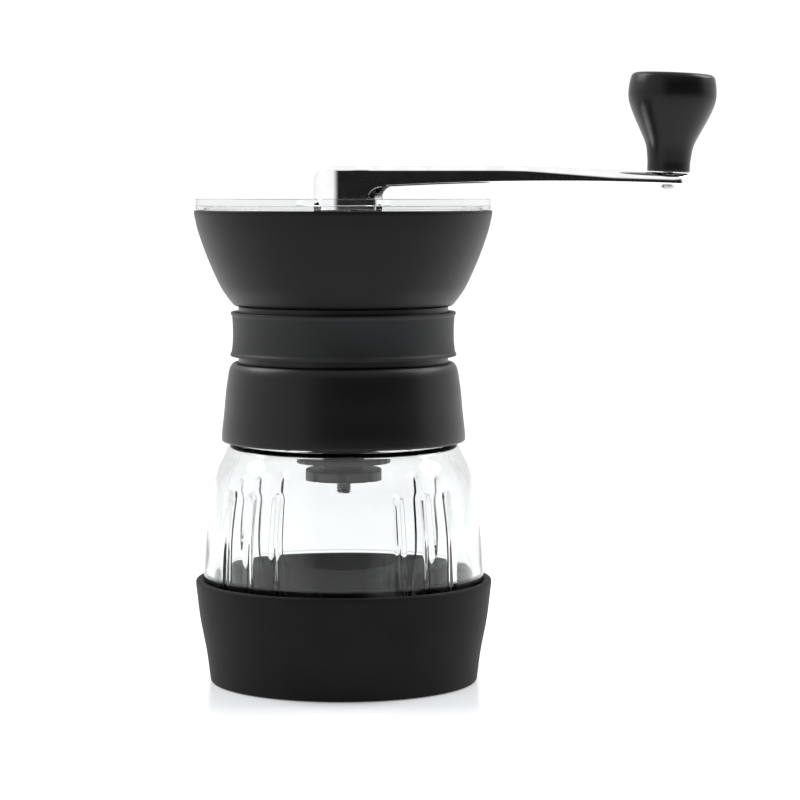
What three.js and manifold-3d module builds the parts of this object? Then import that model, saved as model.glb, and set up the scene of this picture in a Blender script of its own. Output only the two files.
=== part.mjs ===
// A hand crank coffee grinder. Beans go into the bowl at the top and fall between two conical
// ceramic burrs. The crank turns the inner burr, and the grounds drop into a glass jar that
// stands in a soft black boot. Lengths are millimetres, +Z is up, and the origin is the middle
// of the flat underside of the boot. The crank points along +X.

import * as THREE from "three";
import { mergeVertices } from "three/addons/utils/BufferGeometryUtils.js";
import Module from "manifold-3d";

const wasm = await Module();
wasm.setup();

// ---------------------------------------------------------------- driving dimensions

const fit = 0.3; // gap between pieces that touch, slide or turn on each other
const bigSides = 36; // facets round a casing
const screwSides = 10; // facets round a screw, its boss and its hole
const smallSides = 16; // facets round a shaft, a bush or a screw
const threadSteps = 24; // facets round one turn of a thread

// Boot and jar
const bootFloor = 3;
const bootWall = 2.4;
const bootHeight = 32.6;
const jarFootRadius = 39;
const jarSleeveRadius = 43.8; // at the rim of the boot
const jarBellyRadius = 44;
const jarBodyHeight = 72.3; // from its underside to the foot of its neck
const jarWall = 3.2;
const jarFloor = 3.5;
const jarShoulderStep = 4.7; // how far the shoulder lies outside and below the foot of the neck
const jarSideDrop = 15.7; // from the foot of the neck down to the bend in the side
const jarBellyRise = 2.4; // from the rim of the boot up to the widest part
const neckHeight = 17.1;
const neckWall = 2;
const neckThreadRise = 4; // from the foot of the neck to the middle of its thread's start

// Thread between the jar and the mill
const threadPitch = 5;
const threadTurns = 1.4;
const threadHeight = 1.2;
const threadRootWidth = 2.2;
const threadCrestWidth = 1;
const threadLead = 0.5; // radians over which a thread fades out at its ends

// Burrs and their cup
const outerBurrRadius = 23;
const outerBurrHeight = 14;
const outletRadius = 17.9; // inside the outer burr at its lower end
const inletRadius = 13.5; // inside the outer burr at its upper end
const grindGap = 0.6; // between the burrs at the outlet
const innerBurrTopRadius = 9.3;
const innerBurrHeight = 15.7;
const cupWall = 3.2;
const bossRadius = 2.6;
const bossReach = 0.7; // from the outside of the cup to the middle of a boss
const neckClearance = 1; // between the bosses and the inside of the jar's neck

// Casing
const shellWall = 3.7;
const shellTopWall = 2.2;
const shoulderHeight = 4.6; // over which the shell rounds in to its top edge
const shellThreadRise = 2.1; // from the lower edge of the shell to the middle of its thread's start
const webHeight = 7;
const burrSeatDepth = 2.3; // how far the cup is sunk into the web
const postRadius = 2.6;
const coreWall = 1;
const shoulderStep = 1.4; // from the core out to the top edge of the shell
const lowerGroove = 2;
const upperGroove = 1.9;
const bandHeight = 13.8;
const bandThickness = 2.3;
const bandWaist = 0.8; // how far the middle of the band is pinched in

// Hopper, its throat and the upper bearing
const hopperRimRadius = 46.5;
const hopperHeight = 29.7;
const hopperWall = 2.2;
const hopperFootStep = 2.1; // from the core out to the foot of the bowl
const hopperFootWall = 4;
const throatRadius = 18;
const throatWall = 2;
const ledgeWidth = 2.4;
const ledgeHeight = 15; // from the lower end of the throat up to the ledge
const spiderRingHeight = 2.8;
const spiderArmWidth = 4;
const spiderHubWall = 2;
const spiderHubHeight = 8.6;
const bushWall = 1.7;
const bushFlange = 1.2;

// Lid
const lidInset = 0.5; // how far the lid stays inside the rim
const lidLip = 1.6;
const lidHeight = 3.2;
const lidPlate = 2;
const lidSkirtDepth = 3.7;
const lidSkirtWall = 1.4;
const lidHoleClearance = 1; // round the end of the crank's hub

// Shaft and what rides on it
const shaftRadius = 4;
const driveHex = 8; // across the flats, under the crank
const sleeveHex = 6; // across the flats, through the drive sleeve
const threadRadius = 2.35; // the threaded lower end
const collarHeight = 2;
const collarStep = 2.8;
const clipThickness = 0.8;
const clipGroove = 0.6;
const clipWidth = 2.7;
const clipMouthStep = 0.8; // how much narrower the clip's mouth is than its bore, each side
const springWasherWidth = 2.7;
const springWire = 1.8;
const sleeveNeckRadius = 6.5;
const sleeveHexBoss = 12;
const sleeveBossHeight = 5;
const sleeveFlange = 1.7;
const sleeveFlangeRadius = 10.5;
const driveHexRise = 2; // from the top of the sleeve up to where the shaft turns round
const clickPlateRadius = 14.8;
const clickPlateThickness = 2;
const clickPlateDrop = 13.1; // from the burr's lower end down to the click plate's underside
const nutHubHeight = 1.7;
const nutHeight = 2.9;
const nutRadius = 12;
const nutLobes = 8;
const nutNotchRadius = 1.6;
const shaftTail = 4.2; // how far the shaft sticks out below the nut

// Bridge that holds the lower bearing
const bridgeHeight = 3;
const bridgeHubRadius = 11.5;
const bridgeHubHeight = 4.5;
const bridgeHubDrop = 6.5; // from the top of the bridge down to the bottom of its hub
const bridgeArmWidth = 5;
const bridgeEarHeight = 1.7;
const bridgeSpigotWall = 1.8;
const bushLip = 1;
const bridgeArmDrop = 2; // how far the arms meet the hub above its lower end

// Screws
const screwRadius = 1.25;
const screwHeadRadius = 2.1;
const screwHeadHeight = 1.6;
const screwLength = 12;
const screwPoint = 0.6;
const hopperHeadDepth = 1.4; // how far the hopper screws' heads are sunk into the web
const screwCount = 3;

// Crank and knob
const crankReach = 101.3; // from the shaft to the knob
const crankHubRadius = 9.3;
const crankNoseReach = 12.2;
const crankNoseRadius = 6.2;
const crankHubRound = 5;
const crankHubDrop = 2.9; // below the top of the lid
const crankHubRise = 10.2; // above the top of the lid
const crankTopWall = 2.7;
const crankArmHalfWidth = 6.8;
const crankTipRadius = 6.2;
const crankBend = 56; // where the flat top starts to slope down
const crankSlope = THREE.MathUtils.degToRad(2.6);
const crankUnderside = 3.7; // above the lid, beside the hub
const crankArch = 6.3; // control height of the arched underside, above the lid
const crankTipUnderside = 4.3;
const socketWall = 1.8;
const knobHeight = 31;
const knobNeckRadius = 6.6;
const knobHeadRadius = 13.7;
const knobNeckHeight = 3;
const knobHeadHeight = 25;
const pinRadius = 1.6;
const pinShoulderRadius = 2.9;
const rivetRadius = 2.1;
const rivetHeight = 1.1;
const knobWasherRadius = 5.2;
const knobWasherThickness = 0.8;

// ---------------------------------------------------------------- what follows from them

// Radii, from the burrs outwards
const cupBore = outerBurrRadius + fit;
const cupRadius = cupBore + cupWall;
const bossCircle = cupRadius + bossReach;
const neckBore = bossCircle + bossRadius + neckClearance;
const neckRadius = neckBore + neckWall;
const threadCrest = neckRadius + threadHeight;
const shellBore = threadCrest + 2 * fit;
const screwCircle = cupRadius + screwHeadRadius + fit;
const coreRadius = screwCircle + postRadius + fit + coreWall;
const shoulderRadius = coreRadius + shoulderStep;
const bandBore = coreRadius + fit;
const throatOuter = throatRadius + throatWall;
const ledgeRadius = throatRadius + ledgeWidth;
const bushBore = shaftRadius + fit;
const bushRadius = bushBore + bushWall;
const spiderBore = bushRadius + fit;
const spiderHubRadius = spiderBore + spiderHubWall;
const lidHoleRadius = crankNoseReach + lidHoleClearance;
const hopperFootRadius = coreRadius + hopperFootStep;

// Heights, from the floor up
const jarZ = bootFloor + fit;
const neckZ = jarZ + jarBodyHeight;
const mouthZ = neckZ + neckHeight;
const shellZ = neckZ - fit;
const webZ = mouthZ + fit;
const deckZ = webZ + webHeight;
const bandZ = deckZ + lowerGroove;
const hopperZ = bandZ + bandHeight + upperGroove;
const rimZ = hopperZ + hopperHeight;
const lidZ = rimZ + fit;
const lidTopZ = lidZ + lidHeight;
const seatZ = webZ + burrSeatDepth;
const outerBurrZ = seatZ - fit - outerBurrHeight;
const cupZ = outerBurrZ - sleeveFlange;
const bridgeTopZ = cupZ - fit;
const bridgeHubZ = bridgeTopZ - bridgeHubDrop;
const innerBurrZ = outerBurrZ + fit;
const innerBurrTopZ = innerBurrZ + innerBurrHeight;
const clickPlateZ = outerBurrZ - clickPlateDrop;
const nutTopZ = clickPlateZ - fit;
const nutZ = nutTopZ - nutHubHeight - nutHeight;
const throatZ = seatZ + fit;
const ledgeZ = throatZ + ledgeHeight;
const spiderHubZ = hopperZ - fit;
const spiderHubTopZ = spiderHubZ + spiderHubHeight;
const collarZ = spiderHubTopZ + fit + bushFlange + fit;
const crankHubZ = lidTopZ - crankHubDrop;
const crankTopZ = lidTopZ + crankHubRise;
const socketTopZ = crankTopZ - crankTopWall;
const crankTipX = crankReach + crankTipRadius;

const jarOutsideAt = (z) =>
  THREE.MathUtils.mapLinear(z, jarZ, bootHeight, jarFootRadius, jarSleeveRadius);
const crankTopAt = (x) =>
  crankTopZ - Math.max(0, x - crankBend) * Math.tan(crankSlope);

// The outside of the bowl swells quickly from its foot, then rises almost upright.
const bowlFootZ = hopperZ + 0.6;
const bowlEdgeZ = rimZ - 0.4;
const bowlOutsideAt = (z) => {
  const t = (z - bowlFootZ) / (bowlEdgeZ - bowlFootZ);
  const share = 0.27 * t + 0.73 * Math.sin((t * Math.PI) / 2);
  return THREE.MathUtils.lerp(hopperFootRadius, hopperRimRadius, share);
};

// Finishes
const finish = (color, roughness, metalness = 0) =>
  new THREE.MeshStandardMaterial({ color, roughness, metalness });
const softBlack = finish(0x1c1c1d, 0.75);
const satinBlack = finish(0x222122, 0.45);
const gripGrey = finish(0x2c2e30, 0.8);
const glass = new THREE.MeshStandardMaterial({
  color: 0xe9f2ef, roughness: 0.05, transparent: true, opacity: 0.3,
});
const clearPlastic = new THREE.MeshStandardMaterial({
  color: 0xf2f5f6, roughness: 0.1, transparent: true, opacity: 0.35,
});
const mirrorSteel = finish(0xd8d9da, 0.08, 1);
const plainSteel = finish(0xa9abad, 0.35, 1);
const ceramic = finish(0xe9e6df, 0.5);
const darkPlastic = finish(0x4b4c4d, 0.5);
const bearingPlastic = finish(0xd9d5c8, 0.5);

// ---------------------------------------------------------------- shape helpers

// Turns a closed geometry into a solid that can be joined and cut.
function solidOf(geometry) {
  const bare = new THREE.BufferGeometry();
  bare.setAttribute("position", geometry.getAttribute("position"));
  bare.setIndex(geometry.getIndex());
  const merged = mergeVertices(bare, 1e-4);
  return new wasm.Manifold(
    new wasm.Mesh({
      numProp: 3,
      vertProperties: merged.getAttribute("position").array,
      triVerts: new Uint32Array(merged.getIndex().array),
    }),
  );
}

function geometryOf(solid) {
  const { vertProperties, triVerts } = solid.getMesh();
  const geometry = new THREE.BufferGeometry();
  geometry.setAttribute("position", new THREE.BufferAttribute(vertProperties, 3));
  geometry.setIndex(new THREE.BufferAttribute(triVerts, 1));
  geometry.computeVertexNormals();
  return geometry;
}

function join(first, ...others) {
  return geometryOf(others.reduce((solid, other) => solid.add(solidOf(other)), solidOf(first)));
}

function cut(first, ...tools) {
  return geometryOf(tools.reduce((solid, tool) => solid.subtract(solidOf(tool)), solidOf(first)));
}

function common(first, second) {
  return geometryOf(solidOf(first).intersect(solidOf(second)));
}

// A body of revolution about Z. The outline is [radius, z] points, outside going up.
function turned(outline, sides = bigSides) {
  const points = outline.map(([radius, z]) => new THREE.Vector2(radius, z));
  return new THREE.LatheGeometry(points, sides).rotateX(Math.PI / 2);
}

// The same for a ring, whose outline closes on itself.
function turnedRing(outline, sides = bigSides) {
  return turned([...outline, outline[0]], sides);
}

function tube(inner, outer, bottom, top, sides = smallSides) {
  return turnedRing([[inner, bottom], [outer, bottom], [outer, top], [inner, top]], sides);
}

function cylinder(radius, bottom, top, sides = smallSides) {
  return turned([[0, bottom], [radius, bottom], [radius, top], [0, top]], sides);
}

function hexBar(acrossFlats, bottom, top) {
  return cylinder(acrossFlats / Math.sqrt(3), bottom, top, 6);
}

// A flat outline in X and Y, extruded up.
function slab(shape, bottom, top, curveSegments = 12) {
  const options = { depth: top - bottom, bevelEnabled: false, curveSegments };
  return new THREE.ExtrudeGeometry(shape, options).translate(0, 0, bottom);
}

// An outline in X and Z, extruded along Y about the XZ plane.
function sideways(shape, width, curveSegments = 12) {
  const options = { depth: width, bevelEnabled: false, curveSegments };
  return new THREE.ExtrudeGeometry(shape, options)
    .rotateX(Math.PI / 2)
    .translate(0, width / 2, 0);
}

const polygon = (points) => new THREE.Shape(points.map(([x, y]) => new THREE.Vector2(x, y)));

// Copies of a piece at equal angles round the axis.
function around(count, startAngle, make) {
  const step = (2 * Math.PI) / count;
  return Array.from({ length: count }, (_, i) => make().rotateZ(startAngle + i * step));
}

// A smooth run of outline points through a few chosen ones.
function through(points, pieces) {
  const curve = new THREE.SplineCurve(points.map(([r, z]) => new THREE.Vector2(r, z)));
  return curve.getPoints(pieces).map((p) => [p.x, p.y]);
}

// A helical rib about Z, with its root on one radius and its crest on another, that rises
// from z = bottom and fades into its root at both ends. It starts as a straight bar whose
// length stands for the angle, and each of its points is then wound onto the helix.
function helicalRib(root, crest, bottom) {
  const bar = polygon([
    [root, -threadRootWidth / 2],
    [crest, -threadCrestWidth / 2],
    [crest, threadCrestWidth / 2],
    [root, threadRootWidth / 2],
  ]);
  const total = threadTurns * 2 * Math.PI;
  const steps = Math.round(threadTurns * threadSteps);
  const options = { depth: total, steps, bevelEnabled: false };
  const rib = new THREE.ExtrudeGeometry(bar, options);
  const leastFade = 0.15;
  const position = rib.getAttribute("position");
  for (let i = 0; i < position.count; i++) {
    const angle = total - position.getZ(i);
    const end = Math.min(angle, total - angle) / threadLead;
    const fade = THREE.MathUtils.clamp(end, leastFade, 1);
    const radius = root + (position.getX(i) - root) * fade;
    const z = bottom + position.getY(i) + (threadPitch * angle) / (2 * Math.PI);
    position.setXYZ(i, radius * Math.cos(angle), radius * Math.sin(angle), z);
  }
  return rib;
}

// ---------------------------------------------------------------- boot and jar

// The soft boot: a cup with a flat underside that hugs the foot of the jar.
function makeBoot() {
  const edge = 1.5;
  const outside = (z) => jarOutsideAt(z) + fit + bootWall;
  return turned([
    [0, 0],
    [outside(edge) - edge, 0],
    [outside(edge) - 0.3 * edge, 0.3 * edge],
    [outside(edge), edge],
    [outside(bootHeight), bootHeight - bootWall / 3],
    [outside(bootHeight) - bootWall / 3, bootHeight],
    [jarOutsideAt(bootHeight) + fit + bootWall / 4, bootHeight],
    [jarOutsideAt(bootHeight) + fit, bootHeight - bootWall / 4],
    [jarOutsideAt(bootFloor) + fit, bootFloor],
    [0, bootFloor],
  ]);
}

// The glass jar: a bellied body with a thick floor, and a neck with an outside thread.
function makeJar() {
  const foot = 1.6;
  const jarShoulderRadius = neckRadius + jarShoulderStep;
  const sideRadius = THREE.MathUtils.lerp(jarShoulderRadius, jarBellyRadius, 0.6);
  const bellyZ = bootHeight + jarBellyRise;
  const shoulderZ = neckZ - jarShoulderStep;
  const sideZ = neckZ - jarSideDrop;
  const outside = through(
    [
      [jarBellyRadius, bellyZ],
      [sideRadius, sideZ],
      [jarShoulderRadius, shoulderZ],
      [neckRadius + 3.2, neckZ - 1.6],
    ],
    7,
  );
  const inside = through(
    [
      [neckBore, neckZ - 2.4],
      [neckBore + 1.7, neckZ - 3.9],
      [jarShoulderRadius - 1.5, shoulderZ - 2.4],
      [sideRadius - jarWall, sideZ],
      [jarBellyRadius - jarWall, bellyZ],
      [jarOutsideAt(jarZ + 8) - jarWall + 0.6, jarZ + 8],
    ],
    9,
  );
  const body = turned([
    [0, jarZ],
    [jarFootRadius - foot, jarZ],
    [jarOutsideAt(jarZ + foot / 2) - foot / 4, jarZ + foot / 2],
    [jarOutsideAt(jarZ + foot), jarZ + foot],
    [jarOutsideAt(bootHeight), bootHeight],
    ...outside,
    [neckRadius + 0.5, neckZ - 0.5],
    [neckRadius, neckZ],
    [neckRadius, mouthZ - neckWall / 4],
    [neckRadius - neckWall / 4, mouthZ],
    [neckBore + neckWall / 4, mouthZ],
    [neckBore, mouthZ - neckWall / 4],
    ...inside,
    [jarFootRadius - jarWall, jarZ + jarFloor],
    [0, jarZ + jarFloor],
  ]);
  return join(body, helicalRib(neckRadius - fit, threadCrest, neckZ + neckThreadRise));
}

// ---------------------------------------------------------------- mill casing

const bossAngle = Math.PI / 6;
const postAngle = Math.PI / 2;

// The lower casing in one moulding: the outer shell with its inside thread, the web, the cup
// that holds the outer burr, and the core that the grip band and the hopper sit on.
function makeMillBody() {
  const shellTopZ = deckZ - shoulderHeight;
  const coreInner = screwCircle + postRadius - 0.5;
  const shell = turnedRing([
    [shellBore, shellZ],
    [shellBore + shellWall - 0.4, shellZ],
    [shellBore + shellWall, shellZ + 0.4],
    [shellBore + shellTopWall, webZ - 2],
    [shoulderRadius + 2, shellTopZ],
    [shoulderRadius + 1.5, deckZ - 2],
    [shoulderRadius + 0.8, deckZ - 0.7],
    [shoulderRadius, deckZ],
    [coreRadius, deckZ],
    [coreRadius, hopperZ - fit],
    [coreInner, hopperZ - fit],
    [coreInner, deckZ],
    [throatOuter + fit, deckZ],
    [throatOuter + fit, seatZ],
    [cupBore, seatZ],
    [cupBore, cupZ],
    [cupRadius, cupZ],
    [cupRadius, webZ],
    [shellBore, webZ],
  ]);
  const bosses = around(screwCount, bossAngle, () =>
    cylinder(bossRadius, cupZ, webZ + 1, screwSides).translate(bossCircle, 0, 0),
  );
  const thread = helicalRib(shellBore + fit, neckRadius + fit + 0.2, shellZ + shellThreadRise);
  const pockets = around(screwCount, postAngle, () =>
    cylinder(postRadius + fit, deckZ, hopperZ, screwSides).translate(screwCircle, 0, 0),
  );
  const postHoles = around(screwCount, postAngle, () =>
    join(
      cylinder(screwRadius + fit, webZ - 1, deckZ + 1, screwSides),
      cylinder(screwHeadRadius + fit, webZ - 1, hopperScrewZ + screwHeadHeight + fit, screwSides),
    ).translate(screwCircle, 0, 0),
  );
  const bossHoles = around(screwCount, bossAngle, () =>
    cylinder(screwRadius + fit, cupZ - 1, bridgeScrewZ + screwLength + 1, screwSides).translate(bossCircle, 0, 0),
  );
  return cut(join(shell, ...bosses, thread), ...pockets, ...postHoles, ...bossHoles);
}

// The rubber band that the hand holds, pinched in at its middle.
function makeGripBand() {
  const outer = bandBore + bandThickness;
  const edge = 0.5;
  const top = bandZ + bandHeight;
  return turnedRing([
    [bandBore, bandZ],
    [outer - edge, bandZ],
    [outer, bandZ + edge],
    [outer - 0.5 * bandWaist, bandZ + 0.2 * bandHeight],
    [outer - bandWaist, bandZ + 0.5 * bandHeight],
    [outer - 0.7 * bandWaist, bandZ + 0.8 * bandHeight],
    [outer - 0.25, top - edge],
    [outer - 0.25 - edge, top],
    [bandBore, top],
  ]);
}

// The hopper: a bowl that narrows to a throat, a ledge for the bearing spider in the throat,
// and three posts that take the screws from below.
function makeHopper() {
  const steps = 6;
  const bowl = Array.from({ length: steps + 1 }, (_, i) => {
    const z = THREE.MathUtils.lerp(bowlFootZ, bowlEdgeZ, i / steps);
    return [bowlOutsideAt(z), z];
  });
  const inside = bowl
    .slice(1)
    .reverse()
    .map(([radius, z]) => [radius - hopperWall, z]);
  const throatOutside = ledgeRadius + throatWall;
  const shape = turnedRing([
    [throatOuter, throatZ],
    [throatOuter, ledgeZ - 4],
    [throatOutside, ledgeZ - 1],
    [screwCircle + 0.9, hopperZ - 2],
    [screwCircle + 0.9, hopperZ],
    [hopperFootRadius - 1.1, hopperZ],
    ...bowl,
    [hopperRimRadius - 0.4, rimZ],
    [hopperRimRadius - hopperWall + 0.4, rimZ],
    ...inside,
    [hopperFootRadius - hopperFootWall, hopperZ + 2],
    [ledgeRadius, ledgeZ + 3.4],
    [ledgeRadius, ledgeZ],
    [throatRadius, ledgeZ],
    [throatRadius, throatZ],
  ]);
  const posts = around(screwCount, postAngle, () =>
    cylinder(postRadius, deckZ + fit, hopperZ - 1, screwSides).translate(screwCircle, 0, 0),
  );
  const holes = around(screwCount, postAngle, () =>
    cylinder(screwRadius + fit, deckZ, hopperScrewZ + screwLength + 1, screwSides).translate(screwCircle, 0, 0),
  );
  return cut(join(shape, ...posts), ...holes);
}

// The lid: a clear disc with a lip that rests on the rim, a skirt inside the bowl and a hole
// for the hub of the crank.
function makeLid() {
  const outer = hopperRimRadius - lidInset;
  const plateZ = lidTopZ - lidPlate;
  const skirtZ = rimZ - lidSkirtDepth;
  const skirtRadius = bowlOutsideAt(skirtZ) - hopperWall - fit;
  return turnedRing([
    [lidHoleRadius, plateZ],
    [skirtRadius - lidSkirtWall, plateZ],
    [skirtRadius - lidSkirtWall, skirtZ + fit],
    [skirtRadius - 0.4 * lidSkirtWall, skirtZ],
    [skirtRadius, skirtZ + fit],
    [skirtRadius, plateZ],
    [outer - lidLip, plateZ],
    [outer - lidLip, lidZ],
    [outer, lidZ],
    [outer, lidTopZ - 0.5],
    [outer - 0.5, lidTopZ],
    [lidHoleRadius, lidTopZ],
  ]);
}

// ---------------------------------------------------------------- bearings and bridge

// Three arms that carry the upper bush in the middle of the throat.
function makeSpider() {
  const ringOuter = ledgeRadius - fit;
  const ringInner = throatRadius;
  const ringZ = ledgeZ + fit;
  const ringTopZ = ringZ + spiderRingHeight;
  const ring = tube(ringInner, ringOuter, ringZ, ringTopZ, bigSides);
  const hub = tube(spiderBore, spiderHubRadius, spiderHubZ, spiderHubTopZ);
  const armSide = polygon([
    [spiderHubRadius - 1, spiderHubZ + 1],
    [spiderHubRadius - 1, spiderHubZ + 5],
    [ringOuter - 1, ringTopZ],
    [ringOuter - 1, ringZ + 0.5],
  ]);
  const arms = around(3, postAngle, () => sideways(armSide, spiderArmWidth));
  return join(ring, hub, ...arms);
}

// A plain bush with a flange that sits on top of the spider's hub.
function makeUpperBush() {
  const flangeZ = spiderHubTopZ + fit;
  return turnedRing(
    [
      [bushBore, spiderHubZ + fit],
      [bushRadius, spiderHubZ + fit],
      [bushRadius, flangeZ],
      [bushRadius + bushWall, flangeZ],
      [bushRadius + bushWall, flangeZ + bushFlange],
      [bushBore, flangeZ + bushFlange],
    ],
    smallSides,
  );
}

// The bridge: a ring under the burr cup with a spigot that holds the outer burr up, three ears
// for its screws, and three arms to the hub of the lower bearing.
function makeBridge() {
  const spigot = cupBore - fit;
  const ringInner = spigot - bridgeSpigotWall;
  const ring = turnedRing([
    [ringInner, bridgeTopZ - bridgeHeight],
    [cupRadius, bridgeTopZ - bridgeHeight],
    [cupRadius, bridgeTopZ],
    [spigot, bridgeTopZ],
    [spigot, outerBurrZ - fit],
    [ringInner, outerBurrZ - fit],
  ]);
  const ears = around(screwCount, bossAngle, () =>
    cylinder(bossRadius, bridgeTopZ - bridgeEarHeight, bridgeTopZ, screwSides).translate(bossCircle, 0, 0),
  );
  const hubTopZ = bridgeHubZ + bridgeHubHeight;
  const hub = turnedRing([
    [sleeveNeckRadius + 2 * fit, bridgeHubZ],
    [bridgeHubRadius, bridgeHubZ],
    [bridgeHubRadius, hubTopZ],
    [lowerBushRadius + fit, hubTopZ],
    [lowerBushRadius + fit, bridgeHubZ + bushLip],
    [sleeveNeckRadius + 2 * fit, bridgeHubZ + bushLip],
  ]);
  const armSide = polygon([
    [bridgeHubRadius - 1, bridgeHubZ + bridgeArmDrop],
    [ringInner + 1, bridgeTopZ - bridgeHeight],
    [ringInner + 1, bridgeTopZ - 0.4],
    [bridgeHubRadius - 1, hubTopZ],
  ]);
  const arms = around(3, postAngle, () => sideways(armSide, bridgeArmWidth));
  const headRoom = around(screwCount, bossAngle, () =>
    cylinder(screwHeadRadius + fit, bridgeTopZ - bridgeHeight - 1, bridgeTopZ - bridgeEarHeight, screwSides)
      .translate(bossCircle, 0, 0),
  );
  const holes = around(screwCount, bossAngle, () =>
    cylinder(screwRadius + fit, bridgeTopZ - bridgeHeight, bridgeTopZ + 1, screwSides).translate(bossCircle, 0, 0),
  );
  return cut(join(ring, ...ears, hub, ...arms), ...headRoom, ...holes);
}

const lowerBushRadius = sleeveNeckRadius + fit + bushWall;

function makeLowerBush() {
  const bottom = bridgeHubZ + bushLip + fit;
  return tube(sleeveNeckRadius + fit, lowerBushRadius, bottom, bridgeHubZ + bridgeHubHeight);
}

// ---------------------------------------------------------------- burrs and shaft

function makeOuterBurr() {
  return turnedRing([
    [outletRadius, outerBurrZ],
    [outerBurrRadius, outerBurrZ],
    [outerBurrRadius, outerBurrZ + outerBurrHeight],
    [inletRadius, outerBurrZ + outerBurrHeight],
    [outletRadius - 0.9, outerBurrZ + 3],
  ]);
}

// The turning burr, a cone with a hexagonal recess that the sleeve drives.
function makeInnerBurr() {
  const cone = turned([
    [0, innerBurrZ],
    [outletRadius - grindGap, innerBurrZ],
    [outletRadius - grindGap - 0.9, innerBurrZ + 2.9],
    [innerBurrTopRadius, innerBurrTopZ],
    [0, innerBurrTopZ],
  ]);
  return cut(
    cone,
    hexBar(sleeveHexBoss + 2 * fit, innerBurrZ - 1, outerBurrZ + sleeveBossHeight + fit),
    cylinder(shaftRadius + fit, innerBurrZ, innerBurrTopZ + 1),
  );
}

// The sleeve that slides on the hexagonal part of the shaft and carries the inner burr.
function makeDriveSleeve() {
  const bottom = clickPlateZ + clickPlateThickness + fit;
  const outside = join(
    cylinder(sleeveNeckRadius, bottom, outerBurrZ - 0.5),
    cylinder(sleeveFlangeRadius, outerBurrZ - sleeveFlange, outerBurrZ),
    hexBar(sleeveHexBoss, outerBurrZ - 0.5, outerBurrZ + sleeveBossHeight),
  );
  const top = outerBurrZ + sleeveBossHeight + 1;
  return cut(outside, hexBar(sleeveHex + 2 * fit, bottom - 1, top));
}

// The shaft: threaded at its foot, hexagonal through the sleeve, round through the upper bush,
// with a collar that carries it there and a hexagonal top for the crank.
function makeShaft() {
  const hexBottomZ = clickPlateZ + fit;
  const roundZ = outerBurrZ + sleeveBossHeight + driveHexRise;
  const clipBottomZ = clipZ - fit;
  const body = turned(
    [
      [0, roundZ],
      [shaftRadius, roundZ],
      [shaftRadius, clipBottomZ],
      [shaftRadius - clipGroove, clipBottomZ],
      [shaftRadius - clipGroove, clipZ + clipThickness + fit],
      [shaftRadius, clipZ + clipThickness + fit],
      [shaftRadius, collarZ],
      [shaftRadius + collarStep, collarZ],
      [shaftRadius + collarStep, collarZ + collarHeight],
      [0, collarZ + collarHeight],
    ],
    smallSides,
  );
  const tail = nutZ - shaftTail;
  return join(
    body,
    hexBar(driveHex, collarZ + collarHeight - 0.5, socketTopZ - 2 * fit),
    hexBar(sleeveHex, hexBottomZ, roundZ + 0.5),
    turned([[0, tail], [threadRadius - 0.5, tail], [threadRadius, tail + 0.5],
      [threadRadius, hexBottomZ + 0.5], [0, hexBottomZ + 0.5]], smallSides),
  );
}

const clipZ = spiderHubZ - fit - clipThickness;

// The clip that keeps the shaft from lifting out, open on one side.
function makeShaftClip() {
  const bore = shaftRadius - clipGroove + fit;
  const ring = tube(bore, bore + clipWidth, clipZ, clipZ + clipThickness);
  const mouthSide = bore - clipMouthStep;
  const mouthReach = bore + 2 * clipWidth;
  const mouth = slab(
    polygon([[0, -mouthSide], [mouthReach, -mouthSide], [mouthReach, mouthSide], [0, mouthSide]]),
    clipZ - 1,
    clipZ + clipThickness + 1,
  );
  return cut(ring, mouth);
}

const springTopZ = clipZ - fit - clipThickness - fit;

function makeSpringWasher() {
  const bore = shaftRadius + fit;
  const bottom = springTopZ + fit;
  return tube(bore, bore + springWasherWidth, bottom, bottom + clipThickness);
}

// The spring that presses the inner burr down onto the nut, as the sleeve of space it fills.
function makeBurrSpring() {
  const inner = shaftRadius + 2 * fit;
  return tube(inner, inner + springWire, innerBurrTopZ + fit, springTopZ);
}

function makeClickPlate() {
  const rounding = 0.4;
  const plate = turned([
    [0, clickPlateZ],
    [clickPlateRadius - rounding, clickPlateZ],
    [clickPlateRadius, clickPlateZ + rounding],
    [clickPlateRadius, clickPlateZ + clickPlateThickness - rounding],
    [clickPlateRadius - rounding, clickPlateZ + clickPlateThickness],
    [0, clickPlateZ + clickPlateThickness],
  ]);
  const top = clickPlateZ + clickPlateThickness;
  return cut(plate, hexBar(sleeveHex + 2 * fit, clickPlateZ - 1, top + 1));
}

// The nut that sets the grind, with notches for the fingers.
function makeNut() {
  const rounding = 0.9;
  const wheelTop = nutZ + nutHeight;
  const body = turned([
    [0, nutZ],
    [nutRadius - rounding, nutZ],
    [nutRadius, nutZ + rounding],
    [nutRadius, wheelTop],
    [sleeveNeckRadius, wheelTop],
    [sleeveNeckRadius, nutTopZ],
    [0, nutTopZ],
  ]);
  const notches = around(nutLobes, Math.PI / nutLobes, () =>
    cylinder(nutNotchRadius, nutZ - 1, wheelTop + 0.3, 12).translate(nutRadius + 0.4, 0, 0),
  );
  return cut(body, cylinder(threadRadius + fit, nutZ - 1, nutTopZ + 1), ...notches);
}

// ---------------------------------------------------------------- screws

const hopperScrewZ = webZ + hopperHeadDepth;
const bridgeScrewZ = bridgeTopZ - bridgeEarHeight - fit - screwHeadHeight;

// A pan head screw that points up, standing on z = 0.
function makeScrew() {
  return turned(
    [
      [0, 0],
      [screwHeadRadius - 0.5, 0],
      [screwHeadRadius, 0.5],
      [screwHeadRadius, screwHeadHeight],
      [screwRadius, screwHeadHeight],
      [screwRadius, screwLength - screwPoint],
      [screwRadius - screwPoint, screwLength],
      [0, screwLength],
    ],
    screwSides,
  );
}

// ---------------------------------------------------------------- crank and knob

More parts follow.
